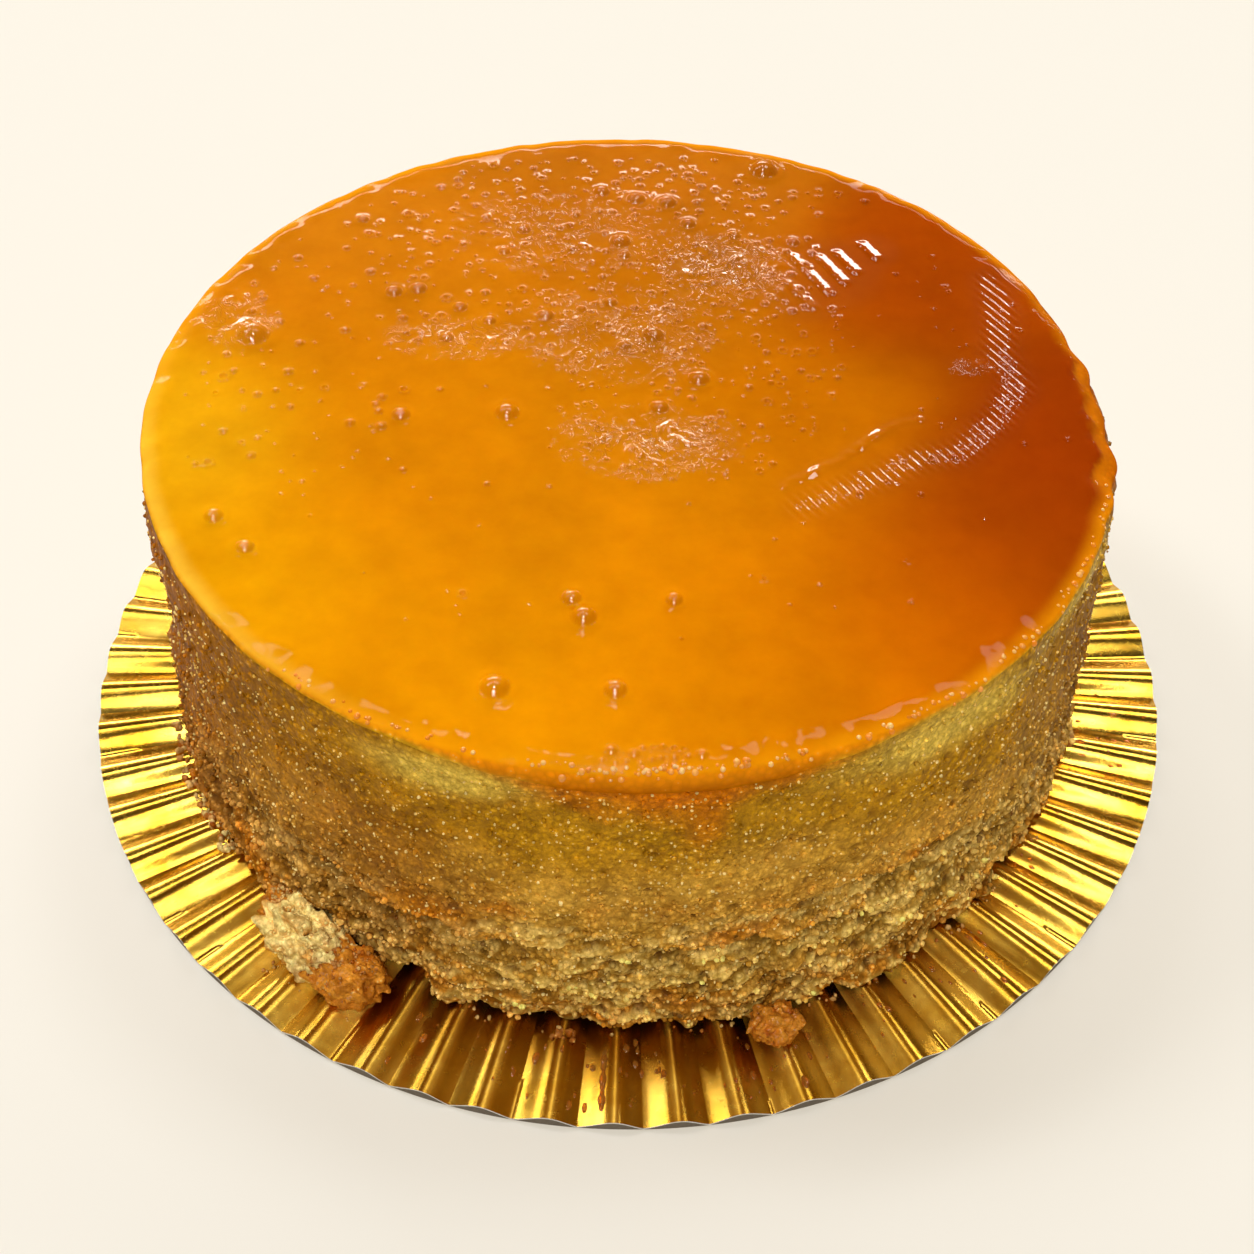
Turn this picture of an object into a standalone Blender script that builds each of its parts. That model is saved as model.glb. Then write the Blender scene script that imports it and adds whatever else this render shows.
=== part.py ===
"""Leche flan cake: custard sponge under a caramel layer, on its fluted gold cake board.

Metres, +Z up.  The origin is the centre of the board's flat underside.  -Y is the
front, where the caramel is thickest over the edge and a crumb lies broken off.
"""
import math
import random

import bmesh
import bpy
from mathutils import Vector, noise

MM = 0.001
GAP = 0.3 * MM

# Cake board: an 8 inch card disc, pressed into radial flutes outside the cake
BOARD_RADIUS = 101.5 * MM
FLUTES = 60
STEPS_PER_FLUTE = 6
FIRST_VALLEY = math.radians(169.55)
VALLEY_TOP = 0.7 * MM
CREST_TOP = 2.4 * MM
HUMP_ROUNDNESS = 0.45
FULL_FLUTE_RADIUS = 80 * MM
FLAT_RADIUS = 74 * MM

# Cake: nearly a cylinder, a little wider at the base, its top sloping down to +X
AROUND = 144
CAKE_CENTRE = Vector((0.0, 0.7 * MM))
BASE_RADIUS = 84.1 * MM
TOP_RADIUS = 82.5 * MM
BASE_Z = CREST_TOP + GAP
TOP_Z = 66.6 * MM
TOP_SLOPE = Vector((-0.0168, 0.009))
SIDE_RINGS = 18

# Relief of the crumb side: rounded lumps of two sizes, coarser towards the base
LUMP_SIZE = 17 * MM
LUMP_HEIGHT = 1.3 * MM
LUMPS_END = 0.85
CRAG_SIZE = 5.5 * MM
CRAG_HEIGHT = 1.6 * MM
CRAG_OFFSET = Vector((7, 3, 5))
CRAGS_END = 0.92
UPPER_CRAG_SHARE = 0.35
FLATTEN = Vector((1, 1, 1.6))
BASE_CRAG_HEIGHT = 3.0 * MM
BASE_CRAG_REACH = 6 * MM
BASE_CRAG_BIAS = 0.1
BASE_CRAG_OFFSET = Vector((1, 9, 2))
LEDGE_FALL = 13 * MM
LEDGE_RISE = 2 * MM
LEDGE_WAVE = 1.6 * MM

# Ledges where crumb broke away below a step: angle, half width, height, depth
LEDGES = [
    (-114, 16, 23 * MM, 2.0 * MM),
    (-76, 15, 21 * MM, 2.1 * MM),
    (-58, 14, 29 * MM, 1.5 * MM),
    (35, 26, 19 * MM, 1.6 * MM),
    (128, 30, 26 * MM, 1.4 * MM),
]
# The bite out of the base edge beside the broken chunk: angle, half width, height, depth
NOTCH = (-117, 5.5, 6 * MM, 5 * MM)

# Caramel layer: thickness over the crumb, more where it runs over the edge
CORE_THICKNESS = 3.0 * MM
EDGE_THICKNESS = 2.2 * MM
EDGE_RIPPLE = 0.2 * MM
FRONT_RUN = (-87, 40, 3.6 * MM)
RIGHT_RUN = (5, 30, 1.6 * MM)
CORE_SHARE = 0.9
LIP = 0.5 * MM
EDGE_ROUND = 1.3 * MM
EDGE_DROP = 0.6 * MM
# The bench sunk along the right edge: angle, half width, how much wider it rounds
BENCH = (8, 42, 2.4 * MM)
BENCH_DROP = 0.9 * MM
BENCH_INSET = 1.5 * MM
SHOULDER_WIDTH = 1.6 * MM

# Lobes of set caramel along the right edge: angle, half width, reach
LOBES = [
    (26, 5, 0.4 * MM),
    (18, 5, 0.3 * MM),
    (9.5, 4.5, 1.1 * MM),
    (-0.5, 4, 0.6 * MM),
    (-8.5, 5, 1.3 * MM),
    (-15.5, 4, 0.8 * MM),
]

# The largest blisters on the caramel: x, y and radius
BLISTERS = [
    (-67 * MM, 17 * MM, 2.9 * MM),
    (26 * MM, 72 * MM, 2.7 * MM),
    (1 * MM, 61 * MM, 1.8 * MM),
    (7 * MM, 60 * MM, 1.8 * MM),
    (-2 * MM, 47 * MM, 2.0 * MM),
    (4 * MM, 19 * MM, 2.0 * MM),
    (5 * MM, -1 * MM, 1.7 * MM),
    (12 * MM, 7 * MM, 1.9 * MM),
    (-21 * MM, -3 * MM, 2.1 * MM),
    (-39 * MM, -4 * MM, 1.6 * MM),
    (-9 * MM, -47 * MM, 1.6 * MM),
    (-7 * MM, -51 * MM, 2.0 * MM),
    (-20 * MM, -66 * MM, 2.3 * MM),
    (-2 * MM, -66 * MM, 1.8 * MM),
    (7 * MM, -47 * MM, 1.4 * MM),
    (-67 * MM, -30 * MM, 1.6 * MM),
    (-61 * MM, -37 * MM, 1.5 * MM),
]
# The bubbly band across the back: centre, half sizes, how many, and their radii
BAND_CENTRE = Vector((-12 * MM, 40 * MM))
BAND_HALF = Vector((48 * MM, 30 * MM))
BAND_BLISTERS = 16
BAND_RADII = (1.1 * MM, 1.6 * MM)
BLISTER_SINK = 0.35
BLISTER_ROOT = 0.3
SEED = 7

# Chunks lying on the board: angle, distance, half sizes along, out and up, roughness
LEFT_CHUNK = [
    (-128.2, 89.0 * MM, Vector((7.4, 5.2, 6.3)) * MM, 0.55),
    (-121.5, 89.6 * MM, Vector((7.2, 5.0, 4.6)) * MM, 0.45),
    (-132.2, 87.4 * MM, Vector((4.0, 3.0, 5.5)) * MM, 0.55),
]
FRONT_CHUNK = [
    (-74.0, 88.8 * MM, Vector((4.2, 3.2, 3.4)) * MM, 0.5),
]
CHUNK_WOBBLE = 1.7
CHUNK_GRAIN = 4.3
CHUNK_CLEARANCE = 1.0 * MM
CHUNK_SINK = 0.75

GOLD = (0.83, 0.60, 0.20)
CUSTARD = (0.60, 0.42, 0.12)
AMBER = (0.85, 0.33, 0.02)
DRY_CRUMB = (0.78, 0.52, 0.20)
SOAKED_CRUMB = (0.60, 0.25, 0.06)


def hill(value, centre, half_width):
    """A smooth hill: 1 at the centre, 0 from half_width away."""
    offset = abs(value - centre) / half_width
    if offset >= 1:
        return 0.0
    return 0.5 * (1 + math.cos(math.pi * offset))


def turn_hill(angle, centre_degrees, half_degrees):
    """A hill around the turn, for an angle in radians."""
    away = (math.degrees(angle) - centre_degrees + 180) % 360 - 180
    return hill(away, 0, half_degrees)


def ease(value):
    """Smooth step from 0 to 1."""
    value = min(max(value, 0.0), 1.0)
    return value * value * (3 - 2 * value)


def around_points():
    return [math.tau * step / AROUND for step in range(AROUND)]


def place(angle, radius, z):
    """A point on the cake, from its own centre."""
    x = CAKE_CENTRE.x + radius * math.cos(angle)
    y = CAKE_CENTRE.y + radius * math.sin(angle)
    return Vector((x, y, z))


def top_height(x, y):
    """The sloping plane of the cake's top."""
    return TOP_Z + TOP_SLOPE.x * x + TOP_SLOPE.y * (y - CAKE_CENTRE.y)


def top_point(angle, radius, below):
    """A point a given depth below the top plane."""
    point = place(angle, radius, 0)
    point.z = top_height(point.x, point.y) - below
    return point


def caramel_edge_thickness(angle):
    front = FRONT_RUN[2] * turn_hill(angle, *FRONT_RUN[:2])
    right = RIGHT_RUN[2] * turn_hill(angle, *RIGHT_RUN[:2])
    ripple = EDGE_RIPPLE * math.sin(9 * angle) * math.sin(4 * angle + 1)
    return EDGE_THICKNESS + front + right + ripple


def side_radius(angle, z):
    """Radius of the crumb side, with its lumps, ledges and ragged base."""
    share = (z - BASE_Z) / (TOP_Z - BASE_Z)
    radius = BASE_RADIUS + (TOP_RADIUS - BASE_RADIUS) * share
    spot = place(angle, radius, z)
    flat = spot * FLATTEN
    lumps = noise.noise(flat / LUMP_SIZE)
    crags = noise.noise(flat / CRAG_SIZE + CRAG_OFFSET)
    roughness = UPPER_CRAG_SHARE + (1 - UPPER_CRAG_SHARE) * (1 - ease(share * 1.2))
    radius += LUMP_HEIGHT * lumps * (1 - ease((share - LUMPS_END) / (1 - LUMPS_END)))
    radius += CRAG_HEIGHT * crags * roughness * (1 - ease((share - CRAGS_END) / (1 - CRAGS_END)))
    base = 1 - ease((z - BASE_Z) / BASE_CRAG_REACH)
    ragged = noise.noise(spot / CRAG_SIZE + BASE_CRAG_OFFSET)
    radius += BASE_CRAG_HEIGHT * (ragged - BASE_CRAG_BIAS) * base
    for centre, half, height, depth in LEDGES:
        wavy = height + LEDGE_WAVE * math.sin(7 * angle + centre)
        below = ease((wavy + LEDGE_RISE / 2 - z) / LEDGE_RISE)
        fade = 1 - ease((wavy - z) / LEDGE_FALL)
        radius -= depth * turn_hill(angle, centre, half) ** 0.5 * below * fade
    centre, half, height, depth = NOTCH
    radius -= depth * turn_hill(angle, centre, half) * (1 - ease((z - BASE_Z) / height))
    return radius


def loft(name, rings):
    """Close a stack of equal rings of points, with a flat face at each end."""
    mesh = bmesh.new()
    loops = [[mesh.verts.new(point) for point in ring] for ring in rings]
    count = len(rings[0])
    for low, high in zip(loops, loops[1:]):
        for i in range(count):
            j = (i + 1) % count
            mesh.faces.new((low[i], low[j], high[j], high[i]))
    ends = [mesh.faces.new(list(reversed(loops[0]))), mesh.faces.new(loops[-1])]
    bmesh.ops.triangulate(mesh, faces=ends)
    return add_object(name, mesh)


def add_object(name, mesh):
    data = bpy.data.meshes.new(name)
    mesh.to_mesh(data)
    mesh.free()
    obj = bpy.data.objects.new(name, data)
    bpy.context.scene.collection.objects.link(obj)
    return obj


def smooth(obj, sharp_degrees):
    obj.data.shade_smooth()
    obj.data.set_sharp_from_angle(angle=math.radians(sharp_degrees))


def material(name, colour, roughness, metallic=0.0):
    mat = bpy.data.materials.new(name)
    mat.use_nodes = True
    shader = mat.node_tree.nodes["Principled BSDF"]
    shader.inputs["Base Color"].default_value = (*colour, 1)
    shader.inputs["Roughness"].default_value = roughness
    shader.inputs["Metallic"].default_value = metallic
    mat.diffuse_color = (*colour, 1)
    return mat


def fuse(obj, pieces, solver):
    """Join closed pieces to an object by one Boolean union on a collection."""
    group = bpy.data.collections.new(obj.name + "_pieces")
    bpy.context.scene.collection.children.link(group)
    for piece in pieces:
        bpy.context.scene.collection.objects.unlink(piece)
        group.objects.link(piece)
    union = obj.modifiers.new("fuse", "BOOLEAN")
    union.operation = "UNION"
    union.solver = solver
    union.operand_type = "COLLECTION"
    union.collection = group
    seen = bpy.context.evaluated_depsgraph_get()
    joined = bpy.data.meshes.new_from_object(obj.evaluated_get(seen))
    obj.modifiers.remove(union)
    obj.data = joined
    for piece in pieces:
        bpy.data.objects.remove(piece)
    bpy.data.collections.remove(group)


def flute_height(step):
    """Height of the fluted card at one of the steps that make a flute."""
    share = (step % STEPS_PER_FLUTE) / STEPS_PER_FLUTE
    wave = math.sin(math.pi * share)
    hump = (1 - HUMP_ROUNDNESS) * wave + HUMP_ROUNDNESS * wave * wave
    return VALLEY_TOP + (CREST_TOP - VALLEY_TOP) * hump


def make_board():
    """Flat underneath, fluted outside the cake and flat at crest height under it."""
    steps = range(FLUTES * STEPS_PER_FLUTE)
    angles = [FIRST_VALLEY + math.tau * step / len(steps) for step in steps]

    def ring(radius, height):
        return [
            Vector((radius * math.cos(angle), radius * math.sin(angle), height(step)))
            for step, angle in zip(steps, angles)
        ]

    board = loft("cake_board", [
        ring(BOARD_RADIUS, lambda step: 0.0),
        ring(BOARD_RADIUS, flute_height),
        ring(FULL_FLUTE_RADIUS, flute_height),
        ring(FLAT_RADIUS, lambda step: CREST_TOP),
    ])
    smooth(board, 35)
    board.data.materials.append(material("gold_foil", GOLD, 0.25, 1.0))


def make_body():
    """The custard sponge, from its ragged base up to the underside of the caramel."""
    rings = []
    for level in range(SIDE_RINGS - 1):
        ring = []
        for angle in around_points():
            rim = top_point(angle, TOP_RADIUS, caramel_edge_thickness(angle)).z
            z = BASE_Z + (rim - BASE_Z) * level / (SIDE_RINGS - 1)
            ring.append(place(angle, side_radius(angle, z), z))
        rings.append(ring)
    rings.append([
        top_point(angle, TOP_RADIUS, caramel_edge_thickness(angle)) for angle in around_points()
    ])
    rings.append([
        top_point(angle, TOP_RADIUS * CORE_SHARE, CORE_THICKNESS) for angle in around_points()
    ])
    body = loft("flan_body", rings)
    smooth(body, 50)
    body.data.materials.append(material("custard_sponge", CUSTARD, 0.65))


def caramel_rings():
    """From the middle of the underside, out round the edge and back over the top."""
    rings = [[], [], [], [], [], []]
    for angle in around_points():
        thick = caramel_edge_thickness(angle)
        bench = turn_hill(angle, *BENCH[:2])
        reach = TOP_RADIUS + LIP - BENCH_INSET * bench
        for centre, half, lobe in LOBES:
            reach += lobe * turn_hill(angle, centre, half)
        under = thick - GAP
        drop = EDGE_DROP + BENCH_DROP * bench
        shoulder = EDGE_ROUND + BENCH[2] * bench
        rings[0].append(top_point(angle, TOP_RADIUS * CORE_SHARE, CORE_THICKNESS - GAP))
        rings[1].append(top_point(angle, TOP_RADIUS, under))
        rings[2].append(top_point(angle, reach, under - 0.25 * (under - drop)))
        rings[3].append(top_point(angle, reach, drop + 0.25 * (under - drop)))
        rings[4].append(top_point(angle, TOP_RADIUS + LIP - shoulder * 0.5, drop * 0.45))
        rings[5].append(top_point(angle, TOP_RADIUS + LIP - shoulder - SHOULDER_WIDTH, 0))
    return rings


def blister_list():
    """The largest blisters, then more of them drawn inside the bubbly band."""
    draw = random.Random(SEED)
    blisters = list(BLISTERS)
    while len(blisters) < len(BLISTERS) + BAND_BLISTERS:
        angle = draw.uniform(0, math.tau)
        reach = math.sqrt(draw.random())
        x = BAND_CENTRE.x + BAND_HALF.x * reach * math.cos(angle)
        y = BAND_CENTRE.y + BAND_HALF.y * reach * math.sin(angle)
        radius = draw.uniform(*BAND_RADII)
        if all(math.hypot(x - bx, y - by) > radius + br + MM for bx, by, br in blisters):
            blisters.append((x, y, radius))
    return blisters


def make_blister(x, y, radius):
    mesh = bmesh.new()
    bmesh.ops.create_icosphere(mesh, subdivisions=2, radius=radius)
    for vert in mesh.verts:
        vert.co.z = max(vert.co.z, -radius * BLISTER_ROOT)
    blister = add_object("blister", mesh)
    blister.location = (x, y, top_height(x, y) - radius * BLISTER_SINK)
    return blister


def make_caramel():
    """The set caramel on top, with its lip, its lobes and the largest blisters."""
    caramel = loft("caramel_layer", caramel_rings())
    fuse(caramel, [make_blister(*blister) for blister in blister_list()], "MANIFOLD")
    smooth(caramel, 50)
    caramel.data.materials.append(material("caramel", AMBER, 0.12))


def make_lump(turn_degrees, distance, half_sizes, roughness):
    """A rough lump of crumb lying on the board against the cake's side."""
    turn = math.radians(turn_degrees)
    along = Vector((-math.sin(turn), math.cos(turn), 0))
    out = Vector((math.cos(turn), math.sin(turn), 0))
    middle = place(turn, distance, BASE_Z + half_sizes.z * CHUNK_SINK)
    mesh = bmesh.new()
    bmesh.ops.create_icosphere(mesh, subdivisions=3, radius=1)
    for vert in mesh.verts:
        wobble = noise.noise(vert.co * CHUNK_WOBBLE + middle / CRAG_SIZE)
        wobble += 0.5 * noise.noise(vert.co * CHUNK_GRAIN - middle / CRAG_SIZE)
        spot = vert.co * (1 + roughness * wobble)
        side = out * spot.x * half_sizes.y + along * spot.y * half_sizes.x
        vert.co = middle + side + Vector((0, 0, spot.z * half_sizes.z))
        lean_on_cake(vert.co)
    return add_object("lump", mesh)


def lean_on_cake(point):
    """Keep a point above the board's crests and clear of the cake's side."""
    point.z = max(point.z, BASE_Z)
    flat = point.xy - CAKE_CENTRE
    angle = math.atan2(flat.y, flat.x)
    nearest = side_radius(angle, point.z) + CHUNK_CLEARANCE
    if flat.length < nearest:
        point.xy = CAKE_CENTRE + flat.normalized() * nearest


def make_chunk(name, lumps, colour):
    pieces = [make_lump(*lump) for lump in lumps]
    chunk = pieces.pop(0)
    chunk.name = name
    chunk.data.name = name
    if pieces:
        fuse(chunk, pieces, "EXACT")
    smooth(chunk, 60)
    chunk.data.materials.append(material(name, colour, 0.6))


def clear_scene():
    for obj in list(bpy.data.objects):
        bpy.data.objects.remove(obj)


clear_scene()
make_board()
make_body()
make_caramel()
make_chunk("crumb_left", LEFT_CHUNK, DRY_CRUMB)
make_chunk("crumb_front", FRONT_CHUNK, SOAKED_CRUMB)
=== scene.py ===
"""Looks of the leche flan cake: foil board, crumb side, blistered caramel and loose crumbs."""
import math
import random

import bmesh
import bpy
import numpy as np
from mathutils import Matrix, Vector, noise
from mathutils.geometry import delaunay_2d_cdt


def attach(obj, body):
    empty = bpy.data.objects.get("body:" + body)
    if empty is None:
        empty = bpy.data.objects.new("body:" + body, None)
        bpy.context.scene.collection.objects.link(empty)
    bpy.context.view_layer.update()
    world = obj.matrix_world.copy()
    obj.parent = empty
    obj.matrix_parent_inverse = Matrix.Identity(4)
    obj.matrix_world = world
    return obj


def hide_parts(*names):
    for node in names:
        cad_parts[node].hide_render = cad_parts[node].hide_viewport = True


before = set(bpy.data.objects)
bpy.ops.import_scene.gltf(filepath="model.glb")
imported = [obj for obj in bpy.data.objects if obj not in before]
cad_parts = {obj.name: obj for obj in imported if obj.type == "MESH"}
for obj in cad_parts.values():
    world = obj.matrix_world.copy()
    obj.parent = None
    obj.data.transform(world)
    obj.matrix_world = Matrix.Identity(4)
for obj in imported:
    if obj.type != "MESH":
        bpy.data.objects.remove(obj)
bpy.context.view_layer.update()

MM = 0.001

# Sizes of the solids, as the model has them
BOARD_RADIUS = 101.5 * MM
FLUTES = 60
FIRST_VALLEY = math.radians(169.55)
VALLEY_TOP = 0.7 * MM
CREST_TOP = 2.4 * MM
HUMP_ROUNDNESS = 0.45
FULL_FLUTE_RADIUS = 80 * MM
FLAT_RADIUS = 74 * MM

CAKE_CENTRE = Vector((0.0, 0.7 * MM))
BASE_RADIUS = 84.1 * MM
TOP_RADIUS = 82.5 * MM
BASE_Z = CREST_TOP + 0.3 * MM
TOP_Z = 66.6 * MM
TOP_SLOPE = Vector((-0.0168, 0.009))

LUMP_SIZE = 17 * MM
LUMP_HEIGHT = 1.3 * MM
CRAG_SIZE = 5.5 * MM
CRAG_HEIGHT = 1.6 * MM
BASE_CRAG_HEIGHT = 2.0 * MM
BASE_CRAG_REACH = 6 * MM
LEDGE_FALL = 13 * MM
LEDGE_RISE = 2 * MM
LEDGE_WAVE = 1.6 * MM
# Ledges of the side: angle, half width, height, depth
LEDGES = [
    (-114, 16, 23 * MM, 2.0 * MM),
    (-76, 15, 21 * MM, 2.1 * MM),
    (-58, 14, 29 * MM, 1.5 * MM),
    (35, 26, 19 * MM, 1.6 * MM),
    (128, 30, 26 * MM, 1.4 * MM),
]
# The bite out of the base edge: angle, half width, height, depth
NOTCH = (-117, 5.5, 6 * MM, 5 * MM)

# The caramel's edge, and where it runs thicker: angle, half width, more thickness
EDGE_THICKNESS = 2.2 * MM
FRONT_RUN = (-87, 40, 3.6 * MM)
RIGHT_RUN = (5, 30, 1.6 * MM)
LIP = 0.5 * MM
EDGE_DROP = 0.6 * MM
BENCH = (8, 42)
BENCH_DROP = 0.9 * MM
BENCH_INSET = 1.5 * MM
# Lobes of the edge at the right: angle, half width, reach in mm
LOBES = [(26, 5, 0.4), (18, 5, 0.3), (9.5, 4.5, 1.1), (-0.5, 4, 0.6), (-8.5, 5, 1.3), (-15.5, 4, 0.8)]

# Lumps of the chunks: angle, distance, half sizes, roughness
LEFT_CHUNK = [
    (-128.2, 89.0 * MM, Vector((7.4, 5.2, 6.3)) * MM, 0.55),
    (-121.5, 89.6 * MM, Vector((7.2, 5.0, 4.6)) * MM, 0.45),
    (-132.2, 87.4 * MM, Vector((4.0, 3.0, 5.5)) * MM, 0.55),
]
LEFT_FILLING = [(-124.8, 89.3 * MM, Vector((5.6, 5.2, 5.0)) * MM, 0.4)]
FRONT_CHUNK = [(-74.0, 88.8 * MM, Vector((4.2, 3.2, 3.4)) * MM, 0.5)]
CHUNK_WOBBLE = 1.7
CHUNK_GRAIN = 4.3

# The largest blisters on the caramel, as in the solids: x, y and radius in mm
BLISTERS = [
    (-67, 17, 2.9), (26, 72, 2.7), (1, 61, 1.8), (7, 60, 1.8), (-2, 47, 2.0), (4, 19, 2.0),
    (5, -1, 1.7), (12, 7, 1.9), (-21, -3, 2.1), (-39, -4, 1.6), (-9, -47, 1.6), (-7, -51, 2.0),
    (-20, -66, 2.3), (-2, -66, 1.8), (7, -47, 1.4), (-67, -30, 1.6), (-61, -37, 1.5),
]
BAND_CENTRE = Vector((-12 * MM, 40 * MM))
BAND_HALF = Vector((48 * MM, 30 * MM))
BAND_BLISTERS = 16
BAND_RADII = (1.1 * MM, 1.6 * MM)
SEED = 7


def rgb(red, green, blue):
    """A screen colour, 0 to 255, as the linear colour that shaders hold."""
    def line(value):
        value /= 255
        return value / 12.92 if value <= 0.04045 else ((value + 0.055) / 1.055) ** 2.4
    return np.array([line(red), line(green), line(blue)])


def ease(value):
    """Smooth step from 0 to 1."""
    value = np.clip(value, 0, 1)
    return value * value * (3 - 2 * value)


def hill(offset):
    """Smooth hill: 1 at offset 0, 0 from offset 1 on."""
    offset = np.minimum(np.abs(offset), 1)
    return 0.5 * (1 + np.cos(np.pi * offset))


def turned_from(angle, centre_degrees):
    """Degrees, -180 to 180, from a direction to an angle in radians."""
    return (np.degrees(angle) - centre_degrees + 180) % 360 - 180


def turn_hill(angle, centre_degrees, half_degrees):
    """A hill around the turn, for angles in radians."""
    return hill(turned_from(angle, centre_degrees) / half_degrees)


def mix(low, high, share):
    """Blend two colours by a share for each point."""
    share = np.asarray(share)[..., None]
    return low * (1 - share) + high * share


def between(low, high, share):
    """Blend two numbers by a share for each point."""
    return low * (1 - share) + high * share


def scatter_number(cells, seed):
    """A repeatable number from 0 to 1 for each cell of a lattice."""
    key = (cells & 0xFFFFFFFF).astype(np.uint32)
    value = key[..., 0] * np.uint32(73856093) ^ key[..., 1] * np.uint32(19349663)
    value = value ^ key[..., 2] * np.uint32(83492791) ^ np.uint32(seed * 2654435 + 97)
    value = (value ^ (value >> np.uint32(15))) * np.uint32(2246822519)
    value = (value ^ (value >> np.uint32(13))) * np.uint32(3266489917)
    return (value ^ (value >> np.uint32(16))) / 2.0 ** 32


def soft_noise(points, seed):
    """Smooth noise from -1 to 1 with features about one unit across."""
    low = np.floor(points).astype(np.int64)
    part = ease(points - low)
    total = 0
    for corner in np.ndindex(2, 2, 2):
        weight = np.prod(np.where(corner, part, 1 - part), axis=-1)
        total = total + weight * scatter_number(low + corner, seed)
    return total * 2 - 1


def rough_noise(points, seed, octaves=3):
    """Soft noise with finer noise on it."""
    total = 0
    share = 1.0
    for octave in range(octaves):
        total = total + share * soft_noise(points * 2 ** octave, seed + octave)
        share *= 0.5
    return total / 1.5


def cells(points, seed):
    """Distance to the nearest scattered point, and that point's own number."""
    low = np.floor(points).astype(np.int64)
    best = np.full(len(points), 9.0)
    tag = np.zeros(len(points))
    for step in np.ndindex(3, 3, 3):
        cell = low + (np.array(step) - 1)
        spot = cell + np.stack([scatter_number(cell, seed + axis) for axis in range(3)], -1)
        distance = ((points - spot) ** 2).sum(-1)
        closer = distance < best
        best[closer] = distance[closer]
        tag[closer] = scatter_number(cell[closer], seed + 3)
    return np.sqrt(best), tag


def place(angle, radius, z):
    """A point on the cake, from its own centre."""
    x = CAKE_CENTRE.x + radius * math.cos(angle)
    y = CAKE_CENTRE.y + radius * math.sin(angle)
    return Vector((x, y, z))


def around(x, y):
    """Angle and distance of places from the cake's centre."""
    x, y = x - CAKE_CENTRE.x, y - CAKE_CENTRE.y
    return np.arctan2(y, x), np.hypot(x, y)


def on_cake(turn, reach):
    """x and y of places from their angle and distance round the cake's centre."""
    return CAKE_CENTRE.x + reach * np.cos(turn), CAKE_CENTRE.y + reach * np.sin(turn)


def level(x, y):
    """Points at height 0."""
    return np.stack([x, y, np.zeros_like(x)], -1)


def top_height(x, y):
    """The sloping plane of the cake's top."""
    return TOP_Z + TOP_SLOPE.x * x + TOP_SLOPE.y * (y - CAKE_CENTRE.y)


def caramel_edge_thickness(angle):
    """Height of the caramel's edge, with its thicker runs and a slight ripple."""
    front = FRONT_RUN[2] * turn_hill(angle, *FRONT_RUN[:2])
    right = RIGHT_RUN[2] * turn_hill(angle, *RIGHT_RUN[:2])
    ripple = 0.2 * MM * np.sin(9 * angle) * np.sin(4 * angle + 1)
    return EDGE_THICKNESS + front + right + ripple


def side_radius(angle, z):
    """Radius of the crumb side, with its lumps, ledges and ragged base."""
    share = (z - BASE_Z) / (TOP_Z - BASE_Z)
    radius = BASE_RADIUS + (TOP_RADIUS - BASE_RADIUS) * share
    spot = place(angle, radius, z)
    flat = Vector((spot.x, spot.y, spot.z * 1.6))
    lumps = noise.noise(flat / LUMP_SIZE)
    crags = noise.noise(flat / CRAG_SIZE + Vector((7, 3, 5)))
    roughness = 0.35 + 0.65 * (1 - ease(share * 1.2))
    radius += LUMP_HEIGHT * lumps * (1 - ease((share - 0.85) / 0.15))
    radius += CRAG_HEIGHT * crags * roughness * (1 - ease((share - 0.92) / 0.08))
    base = 1 - ease((z - BASE_Z) / BASE_CRAG_REACH)
    ragged = noise.noise(spot / CRAG_SIZE + Vector((1, 9, 2)))
    radius += BASE_CRAG_HEIGHT * (ragged - 0.1) * base
    for centre, half, height, depth in LEDGES:
        wavy = height + LEDGE_WAVE * math.sin(7 * angle + centre)
        below = ease((wavy + LEDGE_RISE / 2 - z) / LEDGE_RISE)
        fade = 1 - ease((wavy - z) / LEDGE_FALL)
        radius -= depth * turn_hill(angle, centre, half) ** 0.5 * below * fade
    centre, half, height, depth = NOTCH
    radius -= depth * turn_hill(angle, centre, half) * (1 - ease((z - BASE_Z) / height))
    return radius


def new_object(name, points, faces):
    mesh = bpy.data.meshes.new(name)
    mesh.from_pydata(points, [], faces)
    mesh.update()
    obj = bpy.data.objects.new(name, mesh)
    bpy.context.scene.collection.objects.link(obj)
    return obj


def drum_faces(rows, columns):
    """Quads between closed rings that climb, and a cap on the lowest and the highest ring."""
    index = np.arange(rows * columns).reshape(rows, columns)
    right = np.roll(index, -1, axis=1)
    quads = np.stack([index[:-1], right[:-1], right[1:], index[1:]], -1).reshape(-1, 4).tolist()
    return quads + [index[0][::-1].tolist(), index[-1].tolist()]


def smooth(obj, sharp_degrees=180):
    obj.data.shade_smooth()
    if sharp_degrees < 180:
        obj.data.set_sharp_from_angle(angle=math.radians(sharp_degrees))


def paint(obj, name, colours):
    """Keep a linear colour for each point, for the material to read."""
    layer = obj.data.color_attributes.new(name, "FLOAT_COLOR", "POINT")
    values = np.ones((len(colours), 4), np.float32)
    values[:, :3] = np.clip(colours, 0, 1)
    layer.data.foreach_set("color", values.ravel())


def measure(obj, name, numbers):
    """Keep a number for each point, for the material to read."""
    layer = obj.data.attributes.new(name, "FLOAT", "POINT")
    layer.data.foreach_set("value", np.asarray(numbers, np.float32))


# Painted highlight: pale glint for the tips of some crumb beads
TIP_GLINT_PALE = rgb(246, 208, 116)
BEAD_DARK = (0.95, 0.93, 0.85, 1)
BEAD_BRIGHT = (1.6, 1.57, 1.5, 1)
# Painted shade: darker tint for the gaps between crumb beads
BEAD_GAP_SHADE = (0.54, 0.46, 0.26, 1)


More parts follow.
